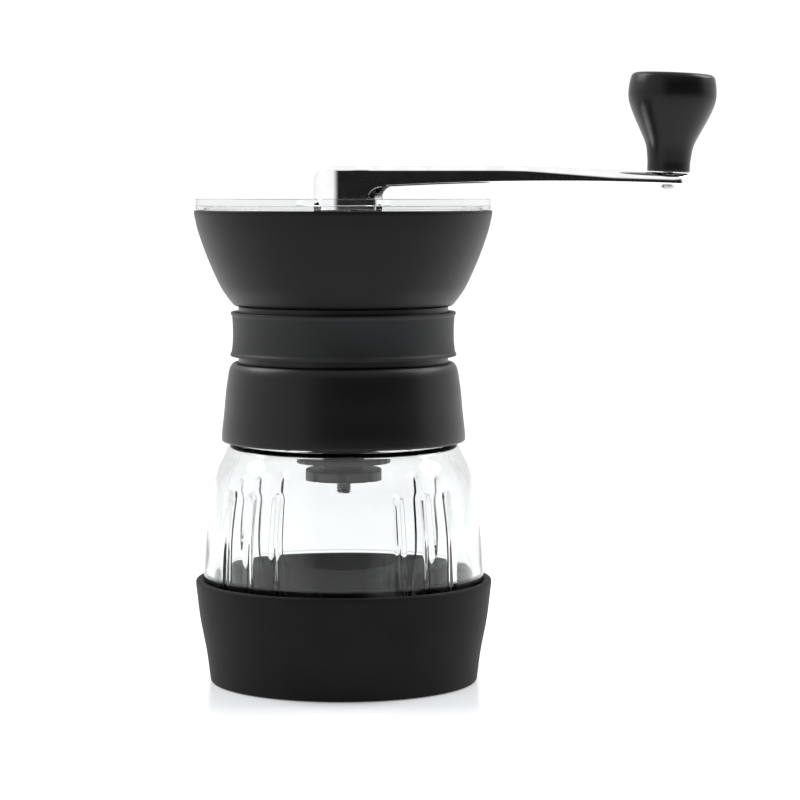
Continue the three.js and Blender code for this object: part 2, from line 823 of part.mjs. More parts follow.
// The polished crank: a hub with a rounded top edge, a nose under the arm, and an arm that is
// flat on top near the hub, slopes down to the knob and is arched below.
function makeCrankArm() {
  const roundSteps = 5;
  const roundEdge = Array.from({ length: roundSteps + 1 }, (_, i) => {
    const angle = (i / roundSteps) * (Math.PI / 2);
    return [
      crankHubRadius - crankHubRound * (1 - Math.cos(angle)),
      crankTopZ - crankHubRound * (1 - Math.sin(angle)),
    ];
  });
  const hub = turned([[0, crankHubZ], [crankHubRadius, crankHubZ], ...roundEdge, [0, crankTopZ]]);

  const noseX = crankNoseReach - crankNoseRadius;
  const lean = Math.acos((crankHubRadius - crankNoseRadius) / noseX);
  const plan = new THREE.Shape();
  plan.absarc(0, 0, crankHubRadius, lean, 2 * Math.PI - lean, false);
  plan.absarc(noseX, 0, crankNoseRadius, -lean, lean, false);
  const nose = slab(plan, crankHubZ, lidTopZ + crankUnderside + 1);

  const side = new THREE.Shape();
  const fillet = crankUnderside - fit;
  side.moveTo(0, crankTopZ);
  side.lineTo(crankBend, crankTopZ);
  side.lineTo(crankTipX, crankTopAt(crankTipX));
  side.lineTo(crankTipX, lidTopZ + crankTipUnderside);
  side.quadraticCurveTo(
    (crankNoseReach + fillet + crankTipX) / 2, lidTopZ + crankArch,
    crankNoseReach + fillet, lidTopZ + crankUnderside,
  );
  side.quadraticCurveTo(
    crankNoseReach, lidTopZ + crankUnderside,
    crankNoseReach, lidTopZ + fit,
  );
  side.lineTo(0, lidTopZ + fit);

  const outline = new THREE.Shape();
  outline.moveTo(0, -crankArmHalfWidth);
  outline.lineTo(crankReach, -crankTipRadius);
  outline.absarc(crankReach, 0, crankTipRadius, -Math.PI / 2, Math.PI / 2, false);
  outline.lineTo(0, crankArmHalfWidth);
  const arm = common(sideways(side, 4 * crankArmHalfWidth), slab(outline, crankHubZ, crankTopZ + 1));

  const pinHole = cylinder(pinRadius + fit, -crankHubRise, crankHubRise)
    .rotateY(crankSlope)
    .translate(crankReach, 0, crankTopAt(crankReach));
  return cut(
    join(hub, nose, arm),
    cylinder(socketRadius + fit, crankHubZ - 1, socketTopZ),
    pinHole,
  );
}

const socketRadius = driveHex / Math.sqrt(3) + fit + socketWall;

// The steel socket in the hub that fits over the hexagonal top of the shaft.
function makeSocketInsert() {
  return cut(
    cylinder(socketRadius, crankHubZ + fit, socketTopZ - fit),
    hexBar(driveHex + 2 * fit, crankHubZ, socketTopZ),
  );
}

// The pieces of the knob stand on z = 0, the sloping top of the arm, with the knob's axis up.
function makeKnob() {
  const swellSteps = 7;
  const swell = Array.from({ length: swellSteps + 1 }, (_, i) => {
    const t = i / swellSteps;
    const z = THREE.MathUtils.lerp(knobNeckHeight, knobHeadHeight, t);
    return [THREE.MathUtils.lerp(knobNeckRadius, knobHeadRadius, t * t * (3 - 2 * t)), z];
  });
  const crown = knobHeight - knobHeadHeight;
  const body = turned([
    [0, fit],
    [knobNeckRadius, fit],
    ...swell,
    [knobHeadRadius - 0.2, knobHeadHeight + 0.45 * crown],
    [knobHeadRadius - 0.8, knobHeadHeight + 0.8 * crown],
    [knobHeadRadius - 1.9, knobHeadHeight + 0.96 * crown],
    [0, knobHeight],
  ], 24);
  const recess = cylinder(knobWasherRadius + fit, 0, knobWasherThickness + 2 * fit);
  return cut(body, recess, cylinder(pinShoulderRadius + fit, 0, pinTop + fit));
}

const pinTop = knobHeadHeight - 1.5;

function makeKnobWasher() {
  return tube(pinRadius + fit, knobWasherRadius, fit, fit + knobWasherThickness);
}

// The pin: riveted under the arm, with a shoulder above it that the knob turns on.
function makeKnobPin() {
  const undersideZ = lidTopZ + crankTipUnderside + (crankArch - crankTipUnderside) / 8;
  const armThickness = crankTopAt(crankReach) - undersideZ;
  const rivetTop = -armThickness - fit;
  const shoulderZ = fit + knobWasherThickness + fit;
  return turned(
    [
      [0, rivetTop - rivetHeight],
      [rivetRadius - 0.4, rivetTop - rivetHeight],
      [rivetRadius, rivetTop - rivetHeight + 0.4],
      [rivetRadius, rivetTop],
      [pinRadius, rivetTop],
      [pinRadius, shoulderZ],
      [pinShoulderRadius, shoulderZ],
      [pinShoulderRadius, pinTop],
      [0, pinTop],
    ],
    smallSides,
  );
}

// ---------------------------------------------------------------- assembly

function piece(name, geometry, material) {
  const mesh = new THREE.Mesh(geometry, material);
  mesh.name = name;
  return mesh;
}

function screws(name, circle, startAngle, z) {
  return around(screwCount, startAngle, () => makeScrew().translate(circle, 0, 0)).map(
    (geometry, i) => piece(`${name}_${i + 1}`, geometry.translate(0, 0, z), plainSteel),
  );
}

function groupOf(...children) {
  const made = new THREE.Group();
  made.add(...children);
  return made;
}

const base = groupOf(piece("base_boot", makeBoot(), softBlack));

const jar = groupOf(piece("glass_jar", makeJar(), glass));

const mill = groupOf(
  piece("mill_body", makeMillBody(), satinBlack),
  piece("grip_band", makeGripBand(), gripGrey),
  piece("hopper_bowl", makeHopper(), satinBlack),
  piece("bearing_spider", makeSpider(), satinBlack),
  piece("upper_bush", makeUpperBush(), bearingPlastic),
  piece("outer_burr", makeOuterBurr(), ceramic),
  piece("stabiliser_bridge", makeBridge(), darkPlastic),
  piece("lower_bush", makeLowerBush(), bearingPlastic),
  ...screws("bridge_screw", bossCircle, bossAngle, bridgeScrewZ),
  ...screws("hopper_screw", screwCircle, postAngle, hopperScrewZ),
);

const lid = groupOf(piece("lid", makeLid(), clearPlastic));

const shaft = groupOf(
  piece("main_shaft", makeShaft(), plainSteel),
  piece("shaft_clip", makeShaftClip(), plainSteel),
  piece("spring_washer", makeSpringWasher(), plainSteel),
  piece("burr_spring", makeBurrSpring(), plainSteel),
);

const burr = groupOf(
  piece("inner_burr", makeInnerBurr(), ceramic),
  piece("drive_sleeve", makeDriveSleeve(), darkPlastic),
  piece("click_plate", makeClickPlate(), darkPlastic),
);

const nut = groupOf(piece("adjusting_nut", makeNut(), darkPlastic));

const knob = groupOf(
  piece("knob", makeKnob(), satinBlack),
  piece("knob_washer", makeKnobWasher(), plainSteel),
  piece("knob_pin", makeKnobPin(), plainSteel),
);
knob.position.set(crankReach, 0, crankTopAt(crankReach));
knob.rotation.y = crankSlope;

const crank = groupOf(
  piece("crank_arm", makeCrankArm(), mirrorSteel),
  piece("socket_insert", makeSocketInsert(), plainSteel),
  knob,
);

const grinder = groupOf(base, jar, mill, lid, shaft, burr, nut, crank);

export default grinder;
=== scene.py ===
# %% [markdown]
# # A hand crank coffee grinder
#
# The mechanical model is loaded first, as a fixed frame. It already holds every size, joint
# and body. This lesson gives each piece its real surface: it rebuilds the visible pieces with
# fine meshes in exactly the places the frame gives, and makes a material for each finish.
# All lengths in the helpers are millimetres, and each mesh is scaled to metres when it is made.

# %% Load the frame
import math
import bmesh
import bpy
from mathutils import Euler, Matrix, Vector


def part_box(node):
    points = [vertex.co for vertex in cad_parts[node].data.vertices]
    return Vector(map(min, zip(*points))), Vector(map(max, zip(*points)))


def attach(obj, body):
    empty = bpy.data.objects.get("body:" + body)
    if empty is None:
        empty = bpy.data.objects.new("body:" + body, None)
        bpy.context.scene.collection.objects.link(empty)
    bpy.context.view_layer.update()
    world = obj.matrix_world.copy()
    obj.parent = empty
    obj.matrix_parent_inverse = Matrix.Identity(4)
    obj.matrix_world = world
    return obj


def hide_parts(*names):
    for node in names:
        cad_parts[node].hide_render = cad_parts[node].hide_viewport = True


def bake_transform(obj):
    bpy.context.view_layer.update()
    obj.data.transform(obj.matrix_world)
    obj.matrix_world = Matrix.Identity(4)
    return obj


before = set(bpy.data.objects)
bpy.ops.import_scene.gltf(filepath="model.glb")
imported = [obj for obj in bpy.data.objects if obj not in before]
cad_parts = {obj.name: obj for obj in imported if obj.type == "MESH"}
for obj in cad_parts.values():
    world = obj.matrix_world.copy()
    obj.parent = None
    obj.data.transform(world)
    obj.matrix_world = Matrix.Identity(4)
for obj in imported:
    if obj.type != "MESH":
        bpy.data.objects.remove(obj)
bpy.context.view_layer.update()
MM = 0.001
TAU = 2 * math.pi
INSET = 0.02  # a rebuilt piece stays this far inside the frame's own


def low(node):
    """The height of a node's lowest point, in millimetres."""
    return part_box(node)[0][2] / MM


def high(node):
    """The height of a node's highest point, in millimetres."""
    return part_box(node)[1][2] / MM


def reach(node):
    """A round node's outer radius, in millimetres."""
    return (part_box(node)[1][1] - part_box(node)[0][1]) / 2 / MM


# %% [markdown]
# ## The studio
#
# Black plastic and polished steel show little but reflections, so what stands round them
# matters most. Here that is a white room with one large dark card to the front and right. The
# card keeps their middles deep, and their edges catch the white. It could be a real black
# sheet, but painting it into the world's light by direction is simpler, and it stays put when
# the camera moves. The camera itself sees plain white behind the grinder.

# %% World light
ROOM_LIGHT = 1.05
BACK_LIGHT = 0.84
SIDE_LIGHT = 0.95
SIDE_ANGLE = 110  # degrees from the front, where the room is at its brightest
CARD_DARKNESS = 0.012
CARD_LEFT = -16  # degrees to the right of the front
CARD_RIGHT = 72
LEFT_FADE = 26
RIGHT_FADE = 20
CARD_TOP = (0.3, 0.7)  # sines of the heights between which the card gives way to the room


def node(tree, kind, **inputs):
    """Adds a shader node and sets the inputs that are named, with spaces as underscores."""
    made = tree.nodes.new(kind)
    for name, value in inputs.items():
        socket = made.inputs[name.replace("_", " ")]
        if isinstance(value, bpy.types.NodeSocket):
            tree.links.new(value, socket)
        else:
            socket.default_value = value
    return made


def maths(tree, operation, first, second=0.0):
    """A Math node, as a value socket."""
    made = tree.nodes.new("ShaderNodeMath")
    made.operation = operation
    for socket, value in zip(made.inputs, (first, second)):
        if isinstance(value, bpy.types.NodeSocket):
            tree.links.new(value, socket)
        else:
            socket.default_value = value
    return made.outputs[0]


def ramp_value(tree, factor, stops):
    """A colour ramp over a factor, from (position, grey or colour) stops, as a colour socket."""
    made = tree.nodes.new("ShaderNodeValToRGB")
    tree.links.new(factor, made.inputs["Fac"])
    made.color_ramp.interpolation = "EASE"
    elements = made.color_ramp.elements
    while len(elements) < len(stops):
        elements.new(0.5)
    for element, (position, grey) in zip(elements, stops):
        element.position = position
        colour = grey if isinstance(grey, tuple) else (grey, grey, grey)
        element.color = (*colour, 1)
    return made.outputs["Color"]


def turn_of(degrees):
    """Where a direction lies on the ramp: 0.5 is the front, and a larger share is to its right."""
    return 0.5 + degrees / 360


def make_world():
    """The room's light, with its card, and the white backdrop that only the camera sees."""
    world = bpy.data.worlds.new("studio_room")
    world.use_nodes = True
    tree = world.node_tree
    tree.nodes.clear()
    place = tree.nodes.new("ShaderNodeTexCoord")
    split = tree.nodes.new("ShaderNodeSeparateXYZ")
    tree.links.new(place.outputs["Generated"], split.inputs[0])
    towards = maths(tree, "MULTIPLY", split.outputs["Y"], -1.0)
    angle = maths(tree, "ARCTAN2", split.outputs["X"], towards)
    share = maths(tree, "MULTIPLY_ADD", angle, 1 / TAU)
    share.node.inputs[2].default_value = 0.5
    card = ramp_value(tree, share, [
        (0.0, BACK_LIGHT),
        (turn_of(-SIDE_ANGLE), 1.0),
        (turn_of(CARD_LEFT - LEFT_FADE), SIDE_LIGHT),
        (turn_of(CARD_LEFT), CARD_DARKNESS),
        (turn_of(CARD_RIGHT), CARD_DARKNESS),
        (turn_of(CARD_RIGHT + RIGHT_FADE), SIDE_LIGHT),
        (turn_of(SIDE_ANGLE), 1.0),
        (1.0, BACK_LIGHT),
    ])
    height = ramp_value(tree, split.outputs["Z"], [(CARD_TOP[0], 0.0), (CARD_TOP[1], 1.0)])
    lit = maths(tree, "MAXIMUM", card, height)
    room = node(tree, "ShaderNodeBackground", Color=lit, Strength=ROOM_LIGHT)
    seen = node(tree, "ShaderNodeBackground", Color=(1, 1, 1, 1), Strength=ROOM_LIGHT)
    path = tree.nodes.new("ShaderNodeLightPath")
    mix = tree.nodes.new("ShaderNodeMixShader")
    tree.links.new(path.outputs["Is Camera Ray"], mix.inputs[0])
    tree.links.new(room.outputs[0], mix.inputs[1])
    tree.links.new(seen.outputs[0], mix.inputs[2])
    out = tree.nodes.new("ShaderNodeOutputWorld")
    tree.links.new(mix.outputs[0], out.inputs["Surface"])
    bpy.context.scene.world = world


make_world()
bpy.context.scene.view_settings.view_transform = "Standard"
print("room light", ROOM_LIGHT, "card", CARD_DARKNESS)

# %% [markdown]
# ## Floor, lamps and camera
#
# The floor is a wide pale sheet. It glows a little, because a white sweep in a studio is lit
# hard enough to lose its texture. Two soft lamps, high at the back left and right, draw the
# bright lines on the upper edges. The camera is a long lens, level with the hopper and tipped
# down a few degrees, so upright edges stay nearly upright.

# %% Floor, lamps and camera
FLOOR_SIZE = 6.0
FLOOR_GLOW = 0.17
FLOOR_COLOUR = (0.93, 0.94, 0.96, 1)
FLOOR_ROUGHNESS = 0.22
FLOOR_DROP = 0.0002  # keeps the floor just clear of the boot's underside
LAMP_ASIDE = 0.9
LAMP_BEHIND = 0.3
LAMP_HEIGHT = 0.9
LAMP_SIZE = 0.7
LAMP_POWER = 9
LAMP_TARGET = (0, 0, 0.1)
CAMERA_PLACE = (0.0177, -0.85, 0.153)
CAMERA_PITCH = math.radians(90 - 4.373)
CAMERA_LENS = 122.3


def new_material(name):
    """A new material, its node tree and its main shader."""
    material = bpy.data.materials.new(name)
    material.use_nodes = True
    tree = material.node_tree
    return material, tree, tree.nodes["Principled BSDF"]


def make_floor():
    mesh = bpy.data.meshes.new("floor")
    half = FLOOR_SIZE / 2
    corners = [(-half, -half, 0), (half, -half, 0), (half, half, 0), (-half, half, 0)]
    mesh.from_pydata(corners, [], [(0, 1, 2, 3)])
    floor = bpy.data.objects.new("floor", mesh)
    floor.location.z = -FLOOR_DROP
    bpy.context.collection.objects.link(floor)
    material, _, shader = new_material("pale_floor")
    shader.inputs["Base Color"].default_value = FLOOR_COLOUR
    shader.inputs["Roughness"].default_value = FLOOR_ROUGHNESS
    shader.inputs["Emission Color"].default_value = (1, 1, 1, 1)
    shader.inputs["Emission Strength"].default_value = FLOOR_GLOW
    mesh.materials.append(material)


def make_lamp(name, side):
    """A soft lamp at the back, aimed at the grinder's middle. side is -1 or 1."""
    light = bpy.data.lights.new(name, "AREA")
    light.size = LAMP_SIZE
    light.energy = LAMP_POWER
    lamp = bpy.data.objects.new(name, light)
    lamp.location = (side * LAMP_ASIDE, LAMP_BEHIND, LAMP_HEIGHT)
    towards = Vector(LAMP_TARGET) - Vector((side * LAMP_ASIDE, LAMP_BEHIND, LAMP_HEIGHT))
    lamp.rotation_euler = towards.to_track_quat("-Z", "Y").to_euler()
    bpy.context.collection.objects.link(lamp)


def make_camera():
    data = bpy.data.cameras.new("camera")
    data.lens = CAMERA_LENS
    data.sensor_width = 36
    data.clip_start = 0.01
    camera = bpy.data.objects.new("camera", data)
    camera.location = CAMERA_PLACE
    camera.rotation_euler = (CAMERA_PITCH, 0, 0)
    bpy.context.collection.objects.link(camera)
    bpy.context.scene.camera = camera


make_floor()
make_lamp("lamp_left", -1)
make_lamp("lamp_right", 1)
make_camera()
print("a floor, two lamps of", LAMP_POWER, "W and a lens of", CAMERA_LENS, "mm")

# %% [markdown]
# ## Finishes
#
# Nothing here is painted. Every black piece is plastic or silicone coloured all through, so
# its colour is nearly flat, and what the eye reads is how its fine grain spreads the light.
# One function makes them all: noise at two scales shifts the colour and the roughness a
# little, and a bump at the grain's size breaks up the reflections. Image textures would do
# the same, but noise works at any size and needs no unwrapping.

# %% Moulded plastic and rubber
CLOUD_SCALE = 60.0
GRAIN_BUMP = 0.35
LIGHTER = 1.25
DARKER = 0.8
ROUGHNESS_SPREAD = 0.05


def tint_by(tree, shader, factor, stops):
    """Lets a noise choose the base colour from (position, colour) stops."""
    tree.links.new(ramp_value(tree, factor, stops), shader.inputs["Base Color"])


def roughen_by(tree, shader, factor, smooth, rough):
    """Lets a noise choose a roughness between two."""
    spread = node(tree, "ShaderNodeMapRange", Value=factor)
    spread.inputs["To Min"].default_value = smooth
    spread.inputs["To Max"].default_value = rough
    tree.links.new(spread.outputs["Result"], shader.inputs["Roughness"])


def dent_by(tree, shader, height, strength, depth):
    """Lets a noise or wave dent the surface by up to a depth in millimetres."""
    bump = node(tree, "ShaderNodeBump", Height=height, Strength=strength, Distance=depth * MM)
    tree.links.new(bump.outputs["Normal"], shader.inputs["Normal"])


def make_moulded(name, colour, roughness, grain=0.3, depth=0.02, specular=0.5):
    """A plastic or rubber whose grain is `grain` millimetres across and `depth` deep."""
    material, tree, shader = new_material(name)
    place = tree.nodes.new("ShaderNodeTexCoord").outputs["Object"]
    fine = node(tree, "ShaderNodeTexNoise", Vector=place, Scale=1 / (grain * MM), Detail=2.0)
    cloudy = node(tree, "ShaderNodeTexNoise", Vector=place, Scale=CLOUD_SCALE, Detail=3.0)
    light = tuple(c * LIGHTER for c in colour)
    dark = tuple(c * DARKER for c in colour)
    tint_by(tree, shader, cloudy.outputs["Fac"], [(0.3, dark), (0.7, light)])
    grainy = fine.outputs["Fac"]
    roughen_by(tree, shader, grainy, roughness - ROUGHNESS_SPREAD, roughness + ROUGHNESS_SPREAD)
    dent_by(tree, shader, grainy, GRAIN_BUMP, depth)
    shader.inputs["Specular IOR Level"].default_value = specular
    print(name, "has a grain of", grain, "mm")
    return material


silicone = make_moulded(
    "boot_silicone", (0.0048, 0.0046, 0.0052), 0.6, grain=0.35, depth=0.03, specular=0.13)
casing_black = make_moulded(
    "casing_plastic", (0.0016, 0.0015, 0.0015), 0.36, grain=0.25, depth=0.008, specular=0.27)
hopper_black = make_moulded(
    "hopper_plastic", (0.0028, 0.0027, 0.0031), 0.4, depth=0.012, specular=0.17)
grip_grey = make_moulded(
    "grip_rubber", (0.0062, 0.0068, 0.0074), 0.5, grain=0.4, depth=0.03, specular=0.28)
knob_black = make_moulded(
    "knob_plastic", (0.0022, 0.0022, 0.0026), 0.3, depth=0.01, specular=0.25)
inner_grey = make_moulded("inner_plastic", (0.055, 0.054, 0.052), 0.42, depth=0.015)
bush_cream = make_moulded("bush_plastic", (0.55, 0.52, 0.45), 0.4, grain=0.2, depth=0.01)
ceramic = make_moulded("burr_ceramic", (0.68, 0.66, 0.61), 0.5, grain=0.15)

# %% [markdown]
# ## Steel
#
# The crank is polished until it mirrors the room. A real polish still has faint clouding, so
# the roughness wanders between two low values. The inner steel is only turned: fine rings run
# round the shaft, and a wave texture banded along the axis gives them.

# %% Polished and turned steel
STEEL_CLOUD_SCALE = 180.0
RING_SCALE = 900
RING_DEPTH = 0.01


def make_steel(name, colour, smooth, rough, ring=0.0):
    """A steel whose roughness wanders between two values. ring is how clear its rings are."""
    material, tree, shader = new_material(name)
    shader.inputs["Metallic"].default_value = 1
    place = tree.nodes.new("ShaderNodeTexCoord").outputs["Object"]
    cloudy = node(tree, "ShaderNodeTexNoise", Vector=place, Scale=STEEL_CLOUD_SCALE, Detail=4.0)
    light = tuple(min(1, c * 1.04) for c in colour)
    dark = tuple(c * 0.94 for c in colour)
    tint_by(tree, shader, cloudy.outputs["Fac"], [(0.35, dark), (0.65, light)])
    roughen_by(tree, shader, cloudy.outputs["Fac"], smooth, rough)
    if ring:
        rings = node(tree, "ShaderNodeTexWave", Vector=place, Scale=RING_SCALE)
        rings.bands_direction = "Z"
        dent_by(tree, shader, rings.outputs["Fac"], ring, RING_DEPTH)
    print(name, "has a roughness of", smooth, "to", rough)
    return material


mirror_steel = make_steel("crank_steel", (0.94, 0.94, 0.945), 0.03, 0.09)
turned_steel = make_steel("machine_steel", (0.5, 0.5, 0.51), 0.25, 0.4, ring=0.3)

# %% [markdown]
# ## Glass and clear plastic
#
# Both are solid walls with an inside and an outside, so the light bends twice, as it does in
# the real ones. A faint green tint on the surface stands for the colour of thick glass without
# the cost of a volume. Faint ripples, far wider than a grain, are what a pressed surface has.
# Both bend light less than real glass and acrylic do, which calms the flutes and the rim.

# %% Clear materials
RIPPLE_BUMP = 0.5


def make_clear(name, tint, index, ripple_size, ripple_depth):
    """A clear material with ripples of a size and depth in millimetres."""
    material, tree, shader = new_material(name)
    place = tree.nodes.new("ShaderNodeTexCoord").outputs["Object"]
    ripple = node(tree, "ShaderNodeTexNoise", Vector=place, Scale=1 / (ripple_size * MM), Detail=1.0)
    dent_by(tree, shader, ripple.outputs["Fac"], RIPPLE_BUMP, ripple_depth)
    pale = tuple(min(1, c * 1.01) for c in tint)
    tint_by(tree, shader, ripple.outputs["Fac"], [(0.3, tint), (0.7, pale)])
    shader.inputs["Roughness"].default_value = 0
    shader.inputs["IOR"].default_value = index
    shader.inputs["Transmission Weight"].default_value = 1
    print(name, "bends light with an index of", index)
    return material


jar_glass = make_clear("jar_glass", (0.845, 0.856, 0.852), 1.42, 14, 0.08)
lid_clear = make_clear("lid_plastic", (0.985, 0.99, 0.995), 1.15, 20, 0.01)

# %% [markdown]
# ## Turning pieces on a lathe
#
# Almost everything in a grinder is round, so one helper does most of the work. It takes half
# of a section, as corners with a rounding each, and sweeps it round the axis. A Screw modifier
# would do it too. Building the rings by hand lets a second function push each point in or out
# by its angle and height, and that is how the flutes and the threads are made.

# %% Lathe helpers
SHARP_ANGLE = 32  # degrees between two faces from which their edge stays sharp
ON_AXIS = 1e-4


def rounded(corners, steps=6):
    """Outline points through (r, z) or (r, z, rounding) corners of a closed section."""
    points = []
    count = len(corners)
    for i, corner in enumerate(corners):
        here = Vector(corner[:2])
        rounding = corner[2] if len(corner) > 2 else 0
        if not rounding:
            points.append(here)
            continue
        before = Vector(corners[i - 1][:2]) - here
        after = Vector(corners[(i + 1) % count][:2]) - here
        cut = min(rounding, 0.48 * before.length, 0.48 * after.length)
        start = here + before.normalized() * cut
        end = here + after.normalized() * cut
        for step in range(steps + 1):
            t = step / steps
            points.append(start * (1 - t) ** 2 + here * (2 * t * (1 - t)) + end * t * t)
    return points


def smooth_run(points, pieces):
    """(r, z) points along a smooth curve through a few chosen ones."""
    knots = [Vector(p) for p in points]
    knots = [knots[0] * 2 - knots[1], *knots, knots[-1] * 2 - knots[-2]]
    run = []
    for a, b, c, d in zip(knots, knots[1:], knots[2:], knots[3:]):
        for step in range(pieces):
            t = step / pieces
            bend = 2 * a - 5 * b + 4 * c - d
            twist = 3 * b - a - 3 * c + d
            run.append(0.5 * (2 * b + (c - a) * t + bend * t ** 2 + twist * t ** 3))
    return [(p.x, p.y) for p in [*run, knots[-2]]]


def shade_smooth(mesh, sharp):
    mesh.polygons.foreach_set("use_smooth", [True] * len(mesh.polygons))
    mesh.set_sharp_from_angle(angle=math.radians(sharp))


def solid(name, vertices, faces, material, sharp=SHARP_ANGLE):
    """Makes an object from points and faces, with outward faces and its sharp edges kept."""
    mesh = bpy.data.meshes.new(name)
    mesh.from_pydata(vertices, [], faces)
    work = bmesh.new()
    work.from_mesh(mesh)
    bmesh.ops.remove_doubles(work, verts=work.verts, dist=1e-7)
    bmesh.ops.recalc_face_normals(work, faces=work.faces)
    work.to_mesh(mesh)
    work.free()
    shade_smooth(mesh, sharp)
    mesh.materials.append(material)
    made = bpy.data.objects.new(name, mesh)
    bpy.context.collection.objects.link(made)
    return made


def turn(name, outline, material, sides=160, shape=None, sharp=SHARP_ANGLE):
    """Sweeps a closed (r, z) outline round Z. shape(angle, r, z) may change each radius."""
    points = [tuple(p[:2]) for p in outline]
    vertices, rings, faces = [], [], []
    for r, z in points:
        if r < ON_AXIS:
            rings.append([len(vertices)] * sides)
            vertices.append((0, 0, z * MM))
            continue
        ring = []
        for i in range(sides):
            angle = TAU * i / sides
            radius = shape(angle, r, z) if shape else r
            ring.append(len(vertices))
            vertices.append((radius * math.cos(angle) * MM, radius * math.sin(angle) * MM, z * MM))
        rings.append(ring)
    for lower, upper in zip(rings, rings[1:] + rings[:1]):
        if lower[0] == lower[1] and upper[0] == upper[1]:
            continue
        for i in range(sides):
            j = (i + 1) % sides
            face = dict.fromkeys((lower[i], lower[j], upper[j], upper[i]))
            faces.append(tuple(face))
    return solid(name, vertices, faces, material, sharp)


def settle(piece, body, slot, *nodes):
    """Hands a finished piece to its body and hides the frame's nodes that it stands for. slot is not used."""
    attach(piece, body)
    if nodes:
        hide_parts(*nodes)
    print(piece.name, "rides on", body, "with", len(piece.data.vertices), "points")


square = [(0, 0), (4, 0, 1), (4, 4), (0, 4)]
print("a square with one rounded corner has", len(rounded(square)), "points")


# %% [markdown]
# ## Joining and cutting
#
# Screw bosses, notches and holes aren't round about the main axis. They are made as their own
# small solids and joined or cut with a Boolean modifier, which is then applied, so that the
# piece stays one clean closed surface.

# %% Boolean helper
def combine(piece, tools, operation):
    """Joins the tools to a piece, or cuts them from it, and keeps its shading."""
    for tool in tools:
        modifier = piece.modifiers.new("combine", "BOOLEAN")
        modifier.operation = operation
        modifier.object = tool
        modifier.solver = "EXACT"
    bpy.context.view_layer.update()
    evaluated = piece.evaluated_get(bpy.context.evaluated_depsgraph_get())
    mesh = bpy.data.meshes.new_from_object(evaluated)
    old = piece.data
    piece.modifiers.clear()
    piece.data = mesh
    bpy.data.meshes.remove(old)
    shade_smooth(mesh, SHARP_ANGLE)
    for tool in tools:
        bpy.data.objects.remove(tool)
    print(piece.name, operation.lower(), "with", len(tools), "tools")


def rods(count, start_degrees, circle, radius, bottom, top, material, sides=32):
    """Upright rods at equal angles round the axis, as tools for combine."""
    made = []
    for i in range(count):
        rod = turn("rod", [(0, bottom), (radius, bottom), (radius, top), (0, top)], material, sides)
        angle = math.radians(start_degrees) + TAU * i / count
        rod.location = (circle * math.cos(angle) * MM, circle * math.sin(angle) * MM, 0)
        made.append(rod)
    return made


# %% [markdown]
# ## The boot
#
# A thick silicone cup that stops the jar from slipping and from knocking the worktop. It is a
# plain cone with a flat foot, and its lip is rounded over. Only the lip and the foot's edge
# need care, because they are where silicone shows its softness.

# %% Boot
FIT = 0.3
BOOT_WALL = 2.4
BOOT_FLOOR = 3.0
BOOT_TAPER = 4.5
JAR_TAPER = 4.8
LIP_SAG = 0.7  # the soft lip ends this far below the frame's


def reach_of_jar_foot():
    """The radius of the jar's foot, from the boot's rim and the slope of its wall."""
    return reach("base_boot") - BOOT_WALL - FIT - JAR_TAPER


def make_boot():
    rim = reach("base_boot")
    top = high("base_boot") - LIP_SAG
    foot = rim - BOOT_TAPER
    wall = smooth_run([(foot + 0.1, 1.1), (rim - 3.3, 9.2), (rim - 1.35, 19.5), (rim - 0.25, 28.5)], 6)
    outline = rounded([
        (0, 0),
        (foot, 0, 0.8),
        *wall,
        (rim - INSET, top - 1.6),
        (rim - INSET, top, 0.9),
        (rim - BOOT_WALL, top, 0.9),
        (reach_of_jar_foot() + FIT, BOOT_FLOOR, 1.5),
        (0, BOOT_FLOOR),
    ])
    boot = turn("boot", outline, silicone, sides=192)
    settle(boot, "base", "boot_silicone", "base_boot")


make_boot()

# %% [markdown]
# ## The jar
#
# Pressed glass with a belly, a thick floor and a threaded neck. Upright flutes stand in four
# groups between the front, the back and the two sides, which are left plain so that one can
# see in. They fade out below the shoulder. The flutes have to be real shape rather than bump,
# because what makes them visible is how each one bends the light from behind.

# %% Jar
SHELL_WALL = 3.7  # of the casing that screws over the neck
NECK_WALL = 2.0
THREAD_PITCH = 5.0
THREAD_TURNS = 1.4
THREAD_HEIGHT = 1.2
THREAD_HALF_WIDTH = 1.1
THREAD_FLANK = 0.6
THREAD_START = 4  # millimetres above the foot of the neck
FLUTE_COUNT = 27
FLUTE_TURN = 0.875  # how far round the first groove is, as a share of a flute
GROOVE_SHARE = 0.13  # half of a groove's width, as a share of a flute
ARC_PART = 0.3  # how much of the depth is the arc between two grooves
FLUTE_DEPTH = 0.75
FLUTE_FOOT = 6
FLUTE_TOP_GAP = 13.5  # how far below the neck the flutes end
SMOOTH_HALF_ANGLE = math.radians(21)
PLAIN_SIDE_ANGLE = math.radians(56)  # the flutes die out before the sides of the jar
neck_radius = reach("mill_body") - SHELL_WALL - 2 * FIT - THREAD_HEIGHT
neck_foot = low("mill_body") + FIT


def thread_at(angle, z, start, lead=0.5):
    """How high the jar's thread stands, from 0 to 1, at an angle and a height."""
    wanted = (z - start) * TAU / THREAD_PITCH
    wound = angle + TAU * round((wanted - angle) / TAU)
    if wound < 0 or wound > THREAD_TURNS * TAU:
        return 0
    off = abs(z - start - THREAD_PITCH * wound / TAU)
    flank = max(0, min(1, (THREAD_HALF_WIDTH - off) / THREAD_FLANK))
    return flank * min(1, wound / lead, (THREAD_TURNS * TAU - wound) / lead)


def ease(t):
    """Turns a share from 0 to 1 into one that starts and stops gently."""
    t = max(0, min(1, t))
    return t * t * (3 - 2 * t)


